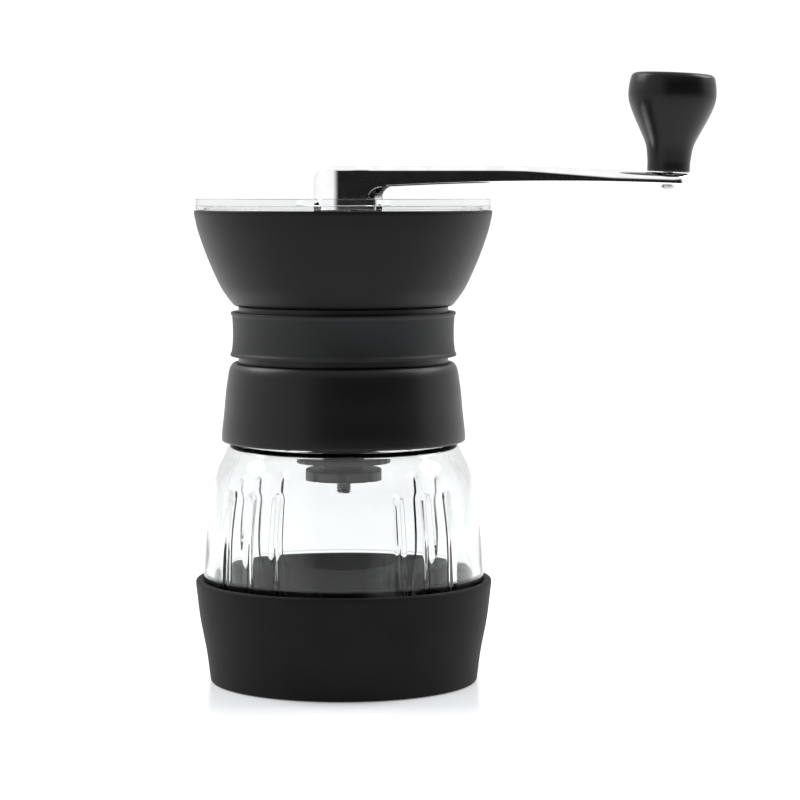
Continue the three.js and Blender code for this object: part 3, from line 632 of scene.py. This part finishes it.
def flute(angle):
    """The depth of the flutes at an angle: gentle arcs that meet in narrow grooves, 1 deep."""
    share = (angle * FLUTE_COUNT / TAU + FLUTE_TURN) % 1 - 0.5
    arc = (2 * share) ** 2
    groove = max(0, 1 - (0.5 - abs(share)) / GROOVE_SHARE)
    return ARC_PART * arc + (1 - ARC_PART) * groove


def jar_surface(angle, r, z):
    """The outside of the jar: flutes on the body and a thread on the neck."""
    if z > neck_foot:
        return r + THREAD_HEIGHT * thread_at(angle, z, neck_foot + THREAD_START)
    from_front = abs((angle + math.pi) % math.pi - math.pi / 2)
    side = ease((from_front - SMOOTH_HALF_ANGLE) / math.radians(3))
    side *= 1 - ease((from_front - PLAIN_SIDE_ANGLE) / math.radians(5))
    height = ease((neck_foot - FLUTE_TOP_GAP - z) / 2) * ease((z - FLUTE_FOOT) / 3)
    return r - FLUTE_DEPTH * flute(angle) * side * height


def jar_wall(z):
    """The thickness of the glass at a height: even round the shoulder, heavier towards the foot."""
    return NECK_WALL + 0.9 * (1 - ease((z - 30) / 20)) + 1.4 * (1 - ease((z - 8) / 14))


def moved_in(run, wall):
    """The same run of points, set inwards by a thickness that depends on the height."""
    points = []
    for i in range(1, len(run) - 1):
        along = Vector(run[i + 1][:2]) - Vector(run[i - 1][:2])
        inwards = Vector((-along.y, along.x)).normalized()
        points.append(tuple(Vector(run[i][:2]) + inwards * wall(run[i][1])))
    return points


def steps_between(start, end, count):
    """The values between two others that split them into equal steps."""
    return [start + (end - start) * i / count for i in range(1, count)]


def shape_outside_only(outline):
    """Applies jar_surface to the points of the outside, which come before the lip."""
    last_outside = max(i for i, p in enumerate(outline) if p[0] >= neck_radius - 1e-6)
    outer = {(round(p[0], 5), round(p[1], 5)) for p in outline[: last_outside + 1]}

    def shaped(angle, r, z):
        return jar_surface(angle, r, z) if (round(r, 5), round(z, 5)) in outer else r

    return shaped


def make_jar():
    bottom = low("glass_jar")
    top = high("glass_jar")
    belly = reach("glass_jar") - 0.05
    sleeve = reach("base_boot") - BOOT_WALL - FIT
    foot = reach_of_jar_foot()
    shoulder = neck_radius + 4.7
    rim = high("base_boot")
    floor = 6.8
    outside = smooth_run(
        [
            (foot + 0.4, bottom + 2.2),
            (foot + 2.0, 14.0),
            (sleeve - 0.9, rim - 6),
            (sleeve, rim),
            (belly - 0.05, rim + 2.4),
            (belly - 0.9, neck_foot - 28.2),
            (belly - 2.6, neck_foot - 15.7),
            (belly - 4.1, neck_foot - 9.6),
            (shoulder, neck_foot - 4.7),
            (neck_radius + 3.1, neck_foot - 1.5),
            (neck_radius + 0.7, neck_foot - 0.4),
            (neck_radius, neck_foot + 0.6),
        ],
        9,
    )
    neck_rise = [(neck_radius, z) for z in steps_between(neck_foot + 0.9, top - 1, 48)]
    bore = neck_radius - NECK_WALL
    inside = [p for p in moved_in(outside, jar_wall) if p[1] > 10.5 and p[0] > bore + 0.05][::-1]
    inside += smooth_run([inside[-1], (foot - 1.2, 8.2), (foot - 3.4, 7.0), (foot - 6.0, floor)], 4)[1:]
    lip = rounded([(neck_radius, top - 1), (neck_radius, top, 0.7), (bore, top, 0.7), (bore, top - 1)])
    outline = [
        (0, bottom + 0.6),
        (foot - 12, bottom + 0.6),
        (foot - 9, bottom),
        (foot - 1.6, bottom),
        (foot - 0.5, bottom + 0.35),
        (foot + 0.1, bottom + 1.1),
        *outside,
        *neck_rise,
        *lip,
        *inside,
        (0, floor),
    ]
    jar = turn(
        "jar", outline, jar_glass, sides=FLUTE_COUNT * 16, shape=shape_outside_only(outline), sharp=50)
    settle(jar, "jar", "jar_glass", "glass_jar")


make_jar()

# %% [markdown]
# ## The mill casing
#
# One black moulding: the shell with its thread for the jar, the web, the cup for the fixed
# burr and the core under the grip. The outside has to be drawn with care, because its soft
# shoulder and the thin gaps above it are what give the body its stacked look.

# %% Casing
WEB_GAP = 0.3
WEB_THICKNESS = 2.3
CUP_WALL = 3.2
BOSS_RADIUS = 2.6
THREAD_ROWS = 40


def make_casing():
    bottom = low("mill_body")
    deck = low("grip_band") - 2.0
    web = high("glass_jar") + WEB_GAP
    top = high("mill_body")
    wide = reach("mill_body")
    core = 32.8
    core_bore = 31.0
    bore = wide - SHELL_WALL
    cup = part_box("outer_burr")[1][1] / MM + 0.3
    cup_bottom = high("stabiliser_bridge") - 1.4
    throat = 20.3
    side = smooth_run([(wide - 0.25, bottom + 3.5), (37.4, bottom + 9.2), (36.8, bottom + 15.7),
                       (36.15, bottom + 20.1)], 4)
    outline = rounded([
        (bore, bottom, 0.4),
        (wide - INSET, bottom, 0.9),
        *side,
        (35.9, bottom + 21.8),
        (35.5, bottom + 23.2),
        (34.9, bottom + 24.2),
        (34.2, deck, 0.3),
        (core, deck),
        (core, top),
        (core_bore, top),
        (core_bore, deck),
        (throat, deck, 0.3),
        (throat, web + WEB_THICKNESS),
        (cup, web + WEB_THICKNESS),
        (cup, cup_bottom, 0.3),
        (cup + CUP_WALL, cup_bottom, 0.4),
        (cup + CUP_WALL, web, 0.6),
        (bore, web, 0.8),
        *[(bore, web - 1 - (web - bottom - 2) * i / THREAD_ROWS) for i in range(THREAD_ROWS + 1)],
    ])

    def thread(angle, r, z):
        if abs(r - bore) > 1e-3 or z > web - 0.5:
            return r
        return r - 1.25 * thread_at(angle, z, bottom + 2.1)

    casing = turn("mill_casing", outline, casing_black, sides=192, shape=thread)
    bosses = rods(3, 30, cup + 3.9, BOSS_RADIUS, cup_bottom, web + 1, casing_black)
    combine(casing, bosses, "UNION")
    settle(casing, "mill", "casing_plastic", "mill_body")


make_casing()

# %% [markdown]
# ## The grip band
#
# A rubber ring, stretched over the core and pinched in at its middle. Its two edges stand out
# as thin rolled lips, and they catch the light as a pale line above and below.

# %% Grip band
def make_band():
    bottom = low("grip_band")
    top = high("grip_band")
    wide = reach("grip_band")
    inner = 33.1
    lip_inset = 0.03
    side = smooth_run(
        [(wide - 0.42, bottom + 1.3), (wide - 0.75, bottom + 4), (wide - 0.85, (bottom + top) / 2),
         (wide - 0.8, top - 4), (wide - 0.6, top - 1.3)], 6)
    outline = rounded([
        (inner, bottom, 0.2),
        (wide - lip_inset, bottom, 0.45),
        (wide - lip_inset, bottom + 0.7, 0.4),
        *side,
        (wide - 0.2, top - 0.7, 0.4),
        (wide - 0.25, top, 0.45),
        (inner, top, 0.2),
    ])
    band = turn("grip_ring", outline, grip_grey, sides=192)
    settle(band, "mill", "grip_rubber", "grip_band")


make_band()

# %% [markdown]
# ## The hopper
#
# The bowl that the beans go into. Its side swells quickly from the foot and then rises almost
# upright to the rim. The inside follows it at an even wall and runs into the throat.

# %% Hopper
def make_hopper():
    foot_z = high("mill_body") + FIT
    top = high("hopper_bowl")
    rim = reach("hopper_bowl")
    ledge = low("hopper_bowl") + 15
    bottom = low("hopper_bowl")
    wall = 2.2
    throat = 20.0
    throat_bore = 18.0
    seat = 29.8
    side = [(34.5, foot_z + 0.5), (36.4, foot_z + 3.0), (38.6, foot_z + 6.5), (42.3, foot_z + 14.8),
            (45.1, foot_z + 22.7), (46.25, foot_z + 27.4)]
    outside = smooth_run(side, 6)
    inside = [(r - wall, z + 0.4) for r, z in reversed(outside[5:])]
    outline = rounded([
        (throat, bottom, 0.4),
        (throat, ledge - 4),
        (22.4, ledge - 1),
        (seat, foot_z - 2),
        (seat, foot_z),
        (33.9, foot_z, 0.4),
        *outside,
        (rim, top - 1.0, 0.5),
        (rim - 0.05, top, 0.5),
        (rim - 2.1, top, 0.5),
        *inside,
        (31.0, foot_z + 2.2, 2.0),
        (throat + 0.4, ledge + 3.4, 0.6),
        (throat + 0.4, ledge),
        (throat_bore, ledge, 0.4),
        (throat_bore, bottom, 0.4),
    ])
    bowl = turn("hopper", outline, hopper_black, sides=192)
    posts = rods(3, 90, 28.9, BOSS_RADIUS, low("hopper_screw_1") + 5.9, foot_z - 1, hopper_black)
    combine(bowl, posts, "UNION")
    settle(bowl, "mill", "hopper_plastic", "hopper_bowl")


make_hopper()

# %% [markdown]
# ## The lid
#
# A clear moulded disc. It rests on the rim with a short lip, a skirt keeps it centred, and the
# hole in the middle lets the crank's hub through.

# %% Lid
def make_lid():
    top = high("lid")
    bottom = low("lid")
    rim_z = high("hopper_bowl")
    wide = reach("lid")
    skirt = 43.5
    hole = 13.2
    under = top - 2
    outline = rounded([
        (hole, under, 0.15),
        (skirt - 1.4, under, 0.3),
        (skirt - 1.2, bottom, 0.4),
        (skirt - 0.2, bottom, 0.4),
        (skirt, under, 0.15),
        (wide - 1.6, under, 0.15),
        (wide - 1.6, rim_z + FIT, 0.15),
        (wide - INSET, rim_z + FIT, 0.15),
        (wide - INSET, top, 0.25),
        (hole, top, 0.2),
    ])
    lid = turn("clear_lid", outline, lid_clear, sides=192)
    settle(lid, "lid", "lid_plastic", "lid")


make_lid()

# %% [markdown]
# ## The crank
#
# The crank is a steel forging. From the side it is flat on top, slopes gently down past its
# middle and is hollowed below. From above it is a long teardrop, and its hub runs out into a
# nose that curves up into the arm. Such a shape is best lofted as one skin: sections set along
# its length give the long even faces that a mirror polish needs. A hub and an arm joined by a
# Boolean modifier leave a seam across every reflection.

# %% Crank
CRANK_SLOPE = math.radians(2.6)
SLOPE_START = 56  # millimetres from the axis
HUB_RADIUS = 9.3
HUB_TOP_ROUND = 5.0  # rounding of the hub's upper edge, on the side away from the arm
TIP_RADIUS = 6.2
NOSE_RADIUS = 6.8
NOSE_REACH = 12.2
NOSE_CENTRE = NOSE_REACH - NOSE_RADIUS
NOSE_FILLET = 3.6
TOP_ROUND = 1.9  # rounding of the arm's upper edges at the hub
TIP_ROUND = 3.5  # and at the knob
TIP_ROUND_START = 0.45  # the share of the way to the knob where they start to widen
ARCH_MIDDLE = 6.3  # heights of the arm's underside over the lid
ARCH_END = 4.3
FLAT_MARGIN = 0.1  # keeps the shading of the flat sides apart from that of the roundings
ARM_EDGE = 0.4  # rounding of the arm's lower edges
tip_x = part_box("crank_arm")[1][0] / MM
knob_x = tip_x - TIP_RADIUS
crank_top = high("crank_arm")
lid_top = high("lid")
fillet_start = lid_top + FIT


def arm_top(x):
    """Height of the arm's upper side."""
    past = max(0, HUB_TOP_ROUND - HUB_RADIUS - x)
    drop = HUB_TOP_ROUND - math.sqrt(max(0, HUB_TOP_ROUND ** 2 - past ** 2))
    return crank_top - INSET - drop - max(0, x - SLOPE_START) * math.tan(CRANK_SLOPE)


def hull_half_width(x, nose):
    """Half of the width of the smallest outline round the hub's circle and the nose's."""
    lean = math.asin((HUB_RADIUS - nose) / NOSE_CENTRE)
    if x < HUB_RADIUS * math.sin(lean):
        return math.sqrt(max(0, HUB_RADIUS ** 2 - x ** 2))
    if x > NOSE_CENTRE + nose * math.sin(lean):
        return math.sqrt(max(0, nose ** 2 - (x - NOSE_CENTRE) ** 2))
    return (HUB_RADIUS - x * math.sin(lean)) / math.cos(lean)


def arm_half_width(x):
    """Half of the arm's width seen from above. The hub's sides are flush with it."""
    lean = math.asin((HUB_RADIUS - NOSE_RADIUS) / NOSE_CENTRE)
    flush_to = NOSE_CENTRE + NOSE_RADIUS * math.sin(lean)
    if x < flush_to:
        return hull_half_width(x, NOSE_RADIUS)
    if x > knob_x:
        return math.sqrt(max(0, TIP_RADIUS ** 2 - (x - knob_x) ** 2))
    start = hull_half_width(flush_to, NOSE_RADIUS)
    return start + (TIP_RADIUS - start) * (x - flush_to) / (knob_x - flush_to)


def arm_bottom(x):
    """Height of the arm's lower side: a long shallow arch beyond the nose's fillet."""
    t = max(0, (x - NOSE_REACH - NOSE_FILLET) / (tip_x - NOSE_REACH - NOSE_FILLET))
    start = fillet_start + NOSE_FILLET
    middle = lid_top + ARCH_MIDDLE
    return start * (1 - t) ** 2 + 2 * middle * t * (1 - t) + (lid_top + ARCH_END) * t * t


def flare(z):
    """How far the nose has grown outwards at a height, where it curves into the arm."""
    rise = min(1, max(0, (z - fillet_start) / NOSE_FILLET))
    return NOSE_FILLET * (1 - math.sqrt(1 - rise ** 2))


def hub_half_width(x, z):
    """Half of the hub's width at a height. It is 0 beyond the nose."""
    if x <= NOSE_CENTRE:
        return hull_half_width(x, NOSE_RADIUS)
    nose = NOSE_RADIUS + flare(z)
    curved = math.sqrt(max(0, nose ** 2 - (x - NOSE_CENTRE) ** 2))
    return curved if x > NOSE_REACH else max(curved, hull_half_width(x, NOSE_RADIUS))


def side_rows(x, hub_rows=12, edge_rows=5):
    """(half width, z) points up one side of the crank, as far as the arm's upper rounding.

    The smallest widths are a little over 0, so that the two sides never meet in one point.
    """
    widest = arm_half_width(x)
    edge = min(ARM_EDGE, widest * 0.9)
    top = fillet_start + NOSE_FILLET
    if x > NOSE_REACH + NOSE_FILLET:
        top = arm_bottom(x)
        points = [((widest - edge) * (0.02 + 0.96 * i / hub_rows), top) for i in range(hub_rows)]
    else:
        if x > NOSE_REACH:
            curl = 1 - (x - NOSE_REACH) / NOSE_FILLET
            bottom = fillet_start + NOSE_FILLET * math.sqrt(max(0, 1 - curl ** 2))
            heights = [bottom + (top - bottom) * i / hub_rows for i in range(hub_rows)]
        else:
            steps = hub_rows - 2
            heights = [fillet_start + NOSE_FILLET * i / steps for i in range(steps)]
            heights = [low("crank_arm"), low("crank_arm") + 0.3] + heights
        points = [(max(0.02, min(widest, hub_half_width(x, z))), z) for z in heights]
        if x <= NOSE_REACH:
            points[0] = (max(0.01, points[0][0] - 0.3), points[0][1])
    flush = min(widest, hub_half_width(x, top)) if x <= NOSE_REACH + NOSE_FILLET else 0
    for i in range(edge_rows + 1):
        angle = math.pi / 2 * i / edge_rows
        half = widest - edge * (1 - math.sin(angle))
        points.append((max(0.03, flush, half), top + edge * (1 - math.cos(angle))))
    return points


def crank_section(x, steps=8):
    """(y, z) points round the crank at x: up one side, over the rounded top and down the other."""
    room = arm_top(x) - arm_bottom(x) - ARM_EDGE - 3 * FLAT_MARGIN
    bevel = TOP_ROUND + (TIP_ROUND - TOP_ROUND) * ease(
        (x / knob_x - TIP_ROUND_START) / (1 - TIP_ROUND_START))
    top_round = min(bevel, arm_half_width(x) * 0.9, room)
    side = side_rows(x)
    widest = max(0.02, arm_half_width(x))
    side.append((widest, side[-1][1] + FLAT_MARGIN))
    side.append((widest, arm_top(x) - top_round - FLAT_MARGIN))
    for step in range(steps + 1):
        angle = math.pi / 2 * step / steps
        y = widest - top_round * (1 - math.cos(angle))
        side.append((max(0.01, y), arm_top(x) - top_round * (1 - math.sin(angle))))
    return side + [(-y, z) for y, z in reversed(side)]


def rounded_section(half_width, bottom, top, top_round, bottom_round, steps=6):
    """(y, z) points round a section with four rounded corners."""
    limit = 0.49 * min(2 * half_width, top - bottom)
    top_round = min(top_round, limit)
    bottom_round = min(bottom_round, limit)
    corners = [
        (half_width - top_round, top - top_round, top_round, 0),
        (-half_width + top_round, top - top_round, top_round, 1),
        (-half_width + bottom_round, bottom + bottom_round, bottom_round, 2),
        (half_width - bottom_round, bottom + bottom_round, bottom_round, 3),
    ]
    points = []
    for y, z, radius, quarter in corners:
        for step in range(steps + 1):
            angle = math.pi / 2 * (quarter + step / steps)
            points.append((y + radius * math.cos(angle), z + radius * math.sin(angle)))
    return points


def loft(name, sections, material, sharp=40):
    """Skins (x, [(y, z), ...]) sections and closes both ends."""
    vertices, faces = [], []
    count = len(sections[0][1])
    for x, ring in sections:
        vertices += [(x * MM, y * MM, z * MM) for y, z in ring]
    for s in range(len(sections) - 1):
        for i in range(count):
            j = (i + 1) % count
            a, b = s * count, (s + 1) * count
            faces.append((a + i, a + j, b + j, b + i))
    faces.append(tuple(range(count)))
    faces.append(tuple(range((len(sections) - 1) * count, len(sections) * count)))
    return solid(name, vertices, faces, material, sharp)


def crank_stations():
    """Places along the arm, close together where the outline turns."""
    end_steps = 14
    quarter = [math.pi / 2 * i / end_steps for i in range(end_steps + 1)]
    left = [-HUB_RADIUS * math.cos(angle) for angle in quarter[:-1]]
    left[0] += 0.01
    hub = [NOSE_CENTRE * i / 8 for i in range(8)]
    nose = [NOSE_CENTRE + NOSE_RADIUS * math.sin(angle) for angle in quarter]
    fillet = [NOSE_REACH + NOSE_FILLET * (1 - math.cos(angle)) for angle in quarter[1:]]
    start = fillet[-1] + 0.1
    along = [start + (knob_x - start) * i / 44 for i in range(45)]
    tip = [knob_x + TIP_RADIUS * math.sin(angle) for angle in quarter[1:]]
    tip[-1] -= 0.01
    return left + hub + nose + fillet + along + tip


def make_crank():
    arm = loft("crank", [(x, crank_section(x)) for x in crank_stations()], mirror_steel)
    below_hub = 140
    socket = reach("socket_insert") + FIT
    socket_top = high("socket_insert") + FIT
    room = turn(
        "room", [(0, below_hub), (socket, below_hub), (socket, socket_top), (0, socket_top)], mirror_steel, 64)
    hole = 1.9
    deep = 12
    pin_hole = turn("pin_hole", [(0, -deep), (hole, -deep), (hole, deep), (0, deep)], mirror_steel, 32)
    pin_hole.location = (knob_x * MM, 0, arm_top(knob_x) * MM)
    pin_hole.rotation_euler = (0, CRANK_SLOPE, 0)
    combine(arm, [room, pin_hole], "DIFFERENCE")
    settle(arm, "crank", "crank_steel", "crank_arm")


make_crank()

# %% [markdown]
# ## The knob
#
# A satin black turning, narrow at the arm and swelling to a flat crown. It leans outwards a
# little, square to the sloping end of the arm, so it is turned upright first and then tilted
# into place together with its pin.

# %% Knob and pin
knob_base = Matrix.Translation((knob_x * MM, 0, (arm_top(knob_x) + INSET) * MM))
knob_tilt = knob_base @ Euler((0, CRANK_SLOPE, 0)).to_matrix().to_4x4()


def tilt_into_place(piece):
    piece.data.transform(knob_tilt)


def make_knob():
    side = smooth_run([(6.62, 1.2), (6.72, 4.0), (7.45, 8.5), (9.4, 12.8), (11.25, 16.5), (12.85, 20.2),
                       (13.55, 22.8), (13.68, 25.0), (13.45, 27.6)], 7)
    foot = FIT + INSET
    recess = 5.5
    bore = 3.2
    bore_foot = 1.4
    bore_top = 23.8
    outline = rounded([
        (recess, foot),
        (6.6, foot, 0.35),
        *side,
        (12.95, 29.9, 0.7),
        (11.9, 30.7, 0.8),
        (6.0, 30.92),
        (0, 30.97),
        (0, bore_top),
        (bore, bore_top),
        (bore, bore_foot),
        (recess, bore_foot),
    ])
    knob = turn("knob_body", outline, knob_black, sides=128)
    tilt_into_place(knob)
    settle(knob, "knob", "knob_plastic", "knob")


def make_pin():
    outline = rounded([
        (0, -5.1), (1.7, -5.0, 0.3), (2.05, -4.5, 0.3), (2.08, -3.95, 0.1), (1.6, -3.9),
        (1.6, 1.4), (2.9, 1.4), (2.9, 23.4), (0, 23.4),
    ])
    pin = turn("knob_rivet", outline, turned_steel, sides=48)
    tilt_into_place(pin)
    settle(pin, "crank", "machine_steel", "knob_pin")


make_knob()
make_pin()

# %% [markdown]
# ## Under the mill
#
# Through the glass one sees the foot of the works: the bridge that steadies the shaft, the
# plate that clicks as the grind is set, the notched nut below it and the threaded end of the
# shaft. They are small and dark against white, so their outlines are what counts.

# %% Bridge
def make_bridge():
    screw_circle = 27.2
    bottom = low("stabiliser_bridge")
    ring_top = high("stabiliser_bridge") - 1.7
    hub_top = bottom + 4.5
    ring = turn("bridge", rounded([
        (21.2, ring_top - 3, 0.3), (26.5, ring_top - 3, 0.5), (26.5, ring_top, 0.2), (23.0, ring_top),
        (23.0, ring_top + 1.7, 0.3), (21.2, ring_top + 1.7, 0.3),
    ]), inner_grey, sides=128)
    hub = turn("hub", rounded([
        (7.1, bottom, 0.2), (11.5, bottom, 0.6), (11.5, hub_top, 0.4), (8.8, hub_top),
        (8.8, bottom + 1), (7.1, bottom + 1),
    ]), inner_grey, sides=96)
    ears = rods(3, 30, screw_circle, BOSS_RADIUS, ring_top - 1.7, ring_top, inner_grey)
    ends = [(10.5, bottom + 2, hub_top), (16, bottom + 2.7, hub_top + 0.5),
            (22.2, ring_top - 3, ring_top - 0.4)]
    arms = []
    for i in range(3):
        arm = loft("arm", [(x, rounded_section(2.5, lo, hi, 0.5, 0.8)) for x, lo, hi in ends], inner_grey)
        arm.rotation_euler = (0, 0, math.pi / 2 + TAU * i / 3)
        arms.append(arm)
    combine(ring, [hub, *ears, *arms], "UNION")
    holes = rods(3, 30, screw_circle, 1.55, ring_top - 4, ring_top + 1, inner_grey)
    heads = rods(3, 30, screw_circle, 2.4, ring_top - 4, ring_top - 1.7, inner_grey)
    combine(ring, heads + holes, "DIFFERENCE")
    settle(ring, "mill", "inner_plastic", "stabiliser_bridge")


make_bridge()

# %% [markdown]
# ## The click plate and the nut
#
# The plate turns with the burr, and dimples round its edge give the clicks. The nut below it
# has a notched wheel for the fingers. Both are plain turnings whose rims are shaped by angle,
# which keeps each of them one surface.

# %% Click plate and nut
def make_click_plate():
    bottom = low("click_plate")
    top = high("click_plate")
    wide = reach("click_plate")
    bore = 3.85
    ribs = 24
    dimple = 0.25

    def dimpled(angle, r, z):
        return r - (dimple * (0.5 + 0.5 * math.cos(ribs * angle)) if r > wide - 1 else 0)

    outline = rounded([
        (bore, bottom, 0.2), (9.0, bottom, 0.3), (9.6, bottom + 0.5, 0.2), (11.4, bottom + 0.5, 0.2),
        (12.0, bottom, 0.3), (wide - INSET, bottom, 0.5), (wide - INSET, top, 0.5), (bore, top, 0.2),
    ])
    plate = turn("click_disc", outline, inner_grey, sides=144, shape=dimpled)
    settle(plate, "burr", "inner_plastic", "click_plate")


def make_nut():
    bottom = low("adjusting_nut")
    top = high("adjusting_nut")
    wheel = bottom + 2.9
    wide = 12.0
    plain = 8  # the wheel is notched outside this radius
    bore = 2.65
    barrel = 6.5
    lobes = 8
    notch_depth = 1.5

    def notched(angle, r, z):
        if r < plain:
            return r
        notch = max(0, 1 - abs(math.sin(lobes * angle / 2)) / 0.42)
        return r - notch_depth * ease(notch) * (r - plain) / (wide - plain)

    rim = [(8.2 + (wide - 8.6) * i / 6, bottom) for i in range(1, 6)]
    outline = rounded([
        (bore, bottom, 0.3), (plain, bottom), *rim, (wide - INSET, bottom, 1.2),
        (wide - INSET, wheel, 0.5), *reversed([(r, wheel) for r, _ in rim]), (plain, wheel),
        (barrel, wheel, 0.4), (barrel, top, 0.4), (bore, top, 0.3),
    ])
    nut = turn("grind_nut", outline, inner_grey, sides=192, shape=notched)
    settle(nut, "nut", "inner_plastic", "adjusting_nut")


make_click_plate()
make_nut()

# %% [markdown]
# ## The shaft
#
# The shaft is one bar with four jobs: a thread for the nut at its foot, a hexagon that drives
# the sleeve, a round journal in the upper bush and a hexagon for the crank. One turning can't
# be six-sided here and round there, so each is made by itself, and a Boolean modifier joins
# them into one closed bar.

# %% Shaft
def make_shaft():
    bottom = low("main_shaft")
    top = high("main_shaft")
    plate = low("click_plate")
    pitch = 0.8
    thread_radius = 2.35
    thread_depth = 0.42
    row = 0.1
    thread_top = plate + 0.8
    rows = int((thread_top - bottom - 0.6) / row)
    rise = [(thread_radius, bottom + 0.5 + row * i) for i in range(rows)]

    def threaded(angle, r, z):
        if abs(r - thread_radius) > 1e-4:
            return r
        phase = ((z - bottom) / pitch - angle / TAU) % 1
        return r - thread_depth * abs(2 * phase - 1)

    tail = turn("shaft", [(0, bottom), (1.9, bottom), *rise, (0, thread_top)],
                turned_steel, sides=40, shape=threaded, sharp=60)

    def hexagon(name, flats, z0, z1):
        radius = flats / math.sqrt(3)
        return turn(name, [(0, z0), (radius, z0), (radius, z1), (0, z1)], turned_steel, sides=6)

    journal_radius = 4.0
    groove_radius = 3.4
    collar_radius = 6.8
    round_z = high("drive_sleeve") + 2
    collar = high("upper_bush") + FIT
    clip = low("shaft_clip")
    journal = turn("journal", rounded([
        (0, round_z), (journal_radius, round_z, 0.3), (journal_radius, clip - 0.3),
        (groove_radius, clip - 0.3), (groove_radius, clip + 1.1), (journal_radius, clip + 1.1),
        (journal_radius, collar), (collar_radius, collar, 0.4), (collar_radius, collar + 2, 0.4),
        (0, collar + 2),
    ]), turned_steel, sides=64)
    combine(tail, [
        hexagon("drive", 6, plate + 0.3, round_z + 0.5),
        journal,
        hexagon("head", 8, collar + 1.5, top),
    ], "UNION")
    settle(tail, "shaft", "machine_steel", "main_shaft")


make_shaft()

# %% [markdown]
# ## The spring
#
# The spring above the burr has to shorten and stretch as the grind is set: the shaft holds its
# top, and the burr pushes its foot. Here it is made once, at its place in the frame, as a wire
# swept round by a loop, which keeps its turns even.

# %% Spring
def make_spring():
    bottom = low("burr_spring")
    top = high("burr_spring")
    wire = 0.75
    radius = reach("burr_spring") - wire
    turns = 5.5
    steps = 26
    around = 10
    total = int(turns * steps)
    vertices, faces = [], []
    for i in range(total + 1):
        angle = TAU * i / steps
        z = bottom + wire + (top - bottom - 2 * wire) * i / total
        for k in range(around):
            turn_angle = TAU * k / around
            r = radius + wire * math.cos(turn_angle)
            vertices.append((r * math.cos(angle) * MM, r * math.sin(angle) * MM,
                             (z + wire * math.sin(turn_angle)) * MM))
    for i in range(total):
        for k in range(around):
            m = (k + 1) % around
            faces.append((i * around + k, i * around + m, (i + 1) * around + m, (i + 1) * around + k))
    faces.append(tuple(range(around)))
    faces.append(tuple(range(total * around, (total + 1) * around)))
    spring = solid("coil_spring", vertices, faces, turned_steel)
    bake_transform(spring)
    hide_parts("burr_spring")
    print("spring of", turns, "turns")


make_spring()

# %% [markdown]
# ## The burrs
#
# Two ceramic cones. The ribs are what crack the beans: coarse and slanted at the top, finer
# below. They are pushed out of a plain turning by angle and height, like the jar's flutes.

# %% Burrs
def make_inner_burr():
    bottom = low("inner_burr")
    top = high("inner_burr")
    height = top - bottom
    ribs = 9
    foot = 17.3
    foot_height = 2.9
    socket = 7.3  # the drive sleeve's
    socket_top = bottom + 5
    tip = 9.3
    bore = 4.3

    def ribbed(angle, r, z):
        if r < socket + 0.1:
            return r
        up = (z - bottom) / height
        wave = 0.5 + 0.5 * math.sin(ribs * angle + 5.0 * up)
        return r - (0.25 + 1.5 * ease(up * 1.6)) * (1 - wave) ** 1.5

    side = [(foot - 0.9 * t / 4, bottom + foot_height * t / 4) for t in range(1, 5)]
    side += [(16.4 - 7.1 * t / 12, bottom + foot_height + (height - foot_height) * t / 12)
             for t in range(1, 12)]
    outline = [(socket, bottom), (foot, bottom), *side, (tip, top), (bore, top), (bore, socket_top),
               (socket, socket_top)]
    burr = turn("turning_burr", outline, ceramic, sides=216, shape=ribbed, sharp=45)
    settle(burr, "burr", "burr_ceramic", "inner_burr")


def make_outer_burr():
    bottom = low("outer_burr")
    top = high("outer_burr")
    ribs = 14
    mouth = 13.5
    plain = 20  # the outside, which has no ribs, lies beyond this radius

    def ribbed(angle, r, z):
        if r > plain:
            return r
        up = (z - bottom) / (top - bottom)
        wave = 0.5 + 0.5 * math.sin(ribs * angle - 3.0 * up)
        return r + (0.2 + 1.2 * ease(up * 1.5)) * (1 - wave) ** 1.5

    bore = [(mouth + 3.5 * t / 10, top - (top - bottom - 3) * t / 10) for t in range(1, 11)]
    outline = [(23.0, bottom), (22.98, top), (mouth, top), *bore, (17.9, bottom)]
    burr = turn("fixed_burr", outline, ceramic, sides=216, shape=ribbed, sharp=45)
    settle(burr, "mill", "burr_ceramic", "outer_burr")


make_inner_burr()
make_outer_burr()

# %% [markdown]
# ## The small pieces
#
# The bushes, screws, clip, washers, sleeve, spider and socket are already the right shape in
# the frame, and little of them shows. They keep their own meshes and get their finishes, and
# a narrow bevel takes the hardness off their edges.

# %% Finish the small pieces
SOFT_EDGE = 0.12
small_finishes = {
    "bearing_spider": casing_black,
    "upper_bush": bush_cream,
    "lower_bush": bush_cream,
    "shaft_clip": turned_steel,
    "spring_washer": turned_steel,
    "drive_sleeve": inner_grey,
    "socket_insert": turned_steel,
    "knob_washer": turned_steel,
}
for kind in ("bridge_screw", "hopper_screw"):
    for number in range(1, 4):
        small_finishes[f"{kind}_{number}"] = turned_steel

for name, material in small_finishes.items():
    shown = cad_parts[name]
    shown.material_slots[0].material = material
    bevel = shown.modifiers.new("soft_edges", "BEVEL")
    bevel.width = SOFT_EDGE * MM
    bevel.segments = 2
    bevel.angle_limit = math.radians(40)
print(len(small_finishes), "small pieces finished")
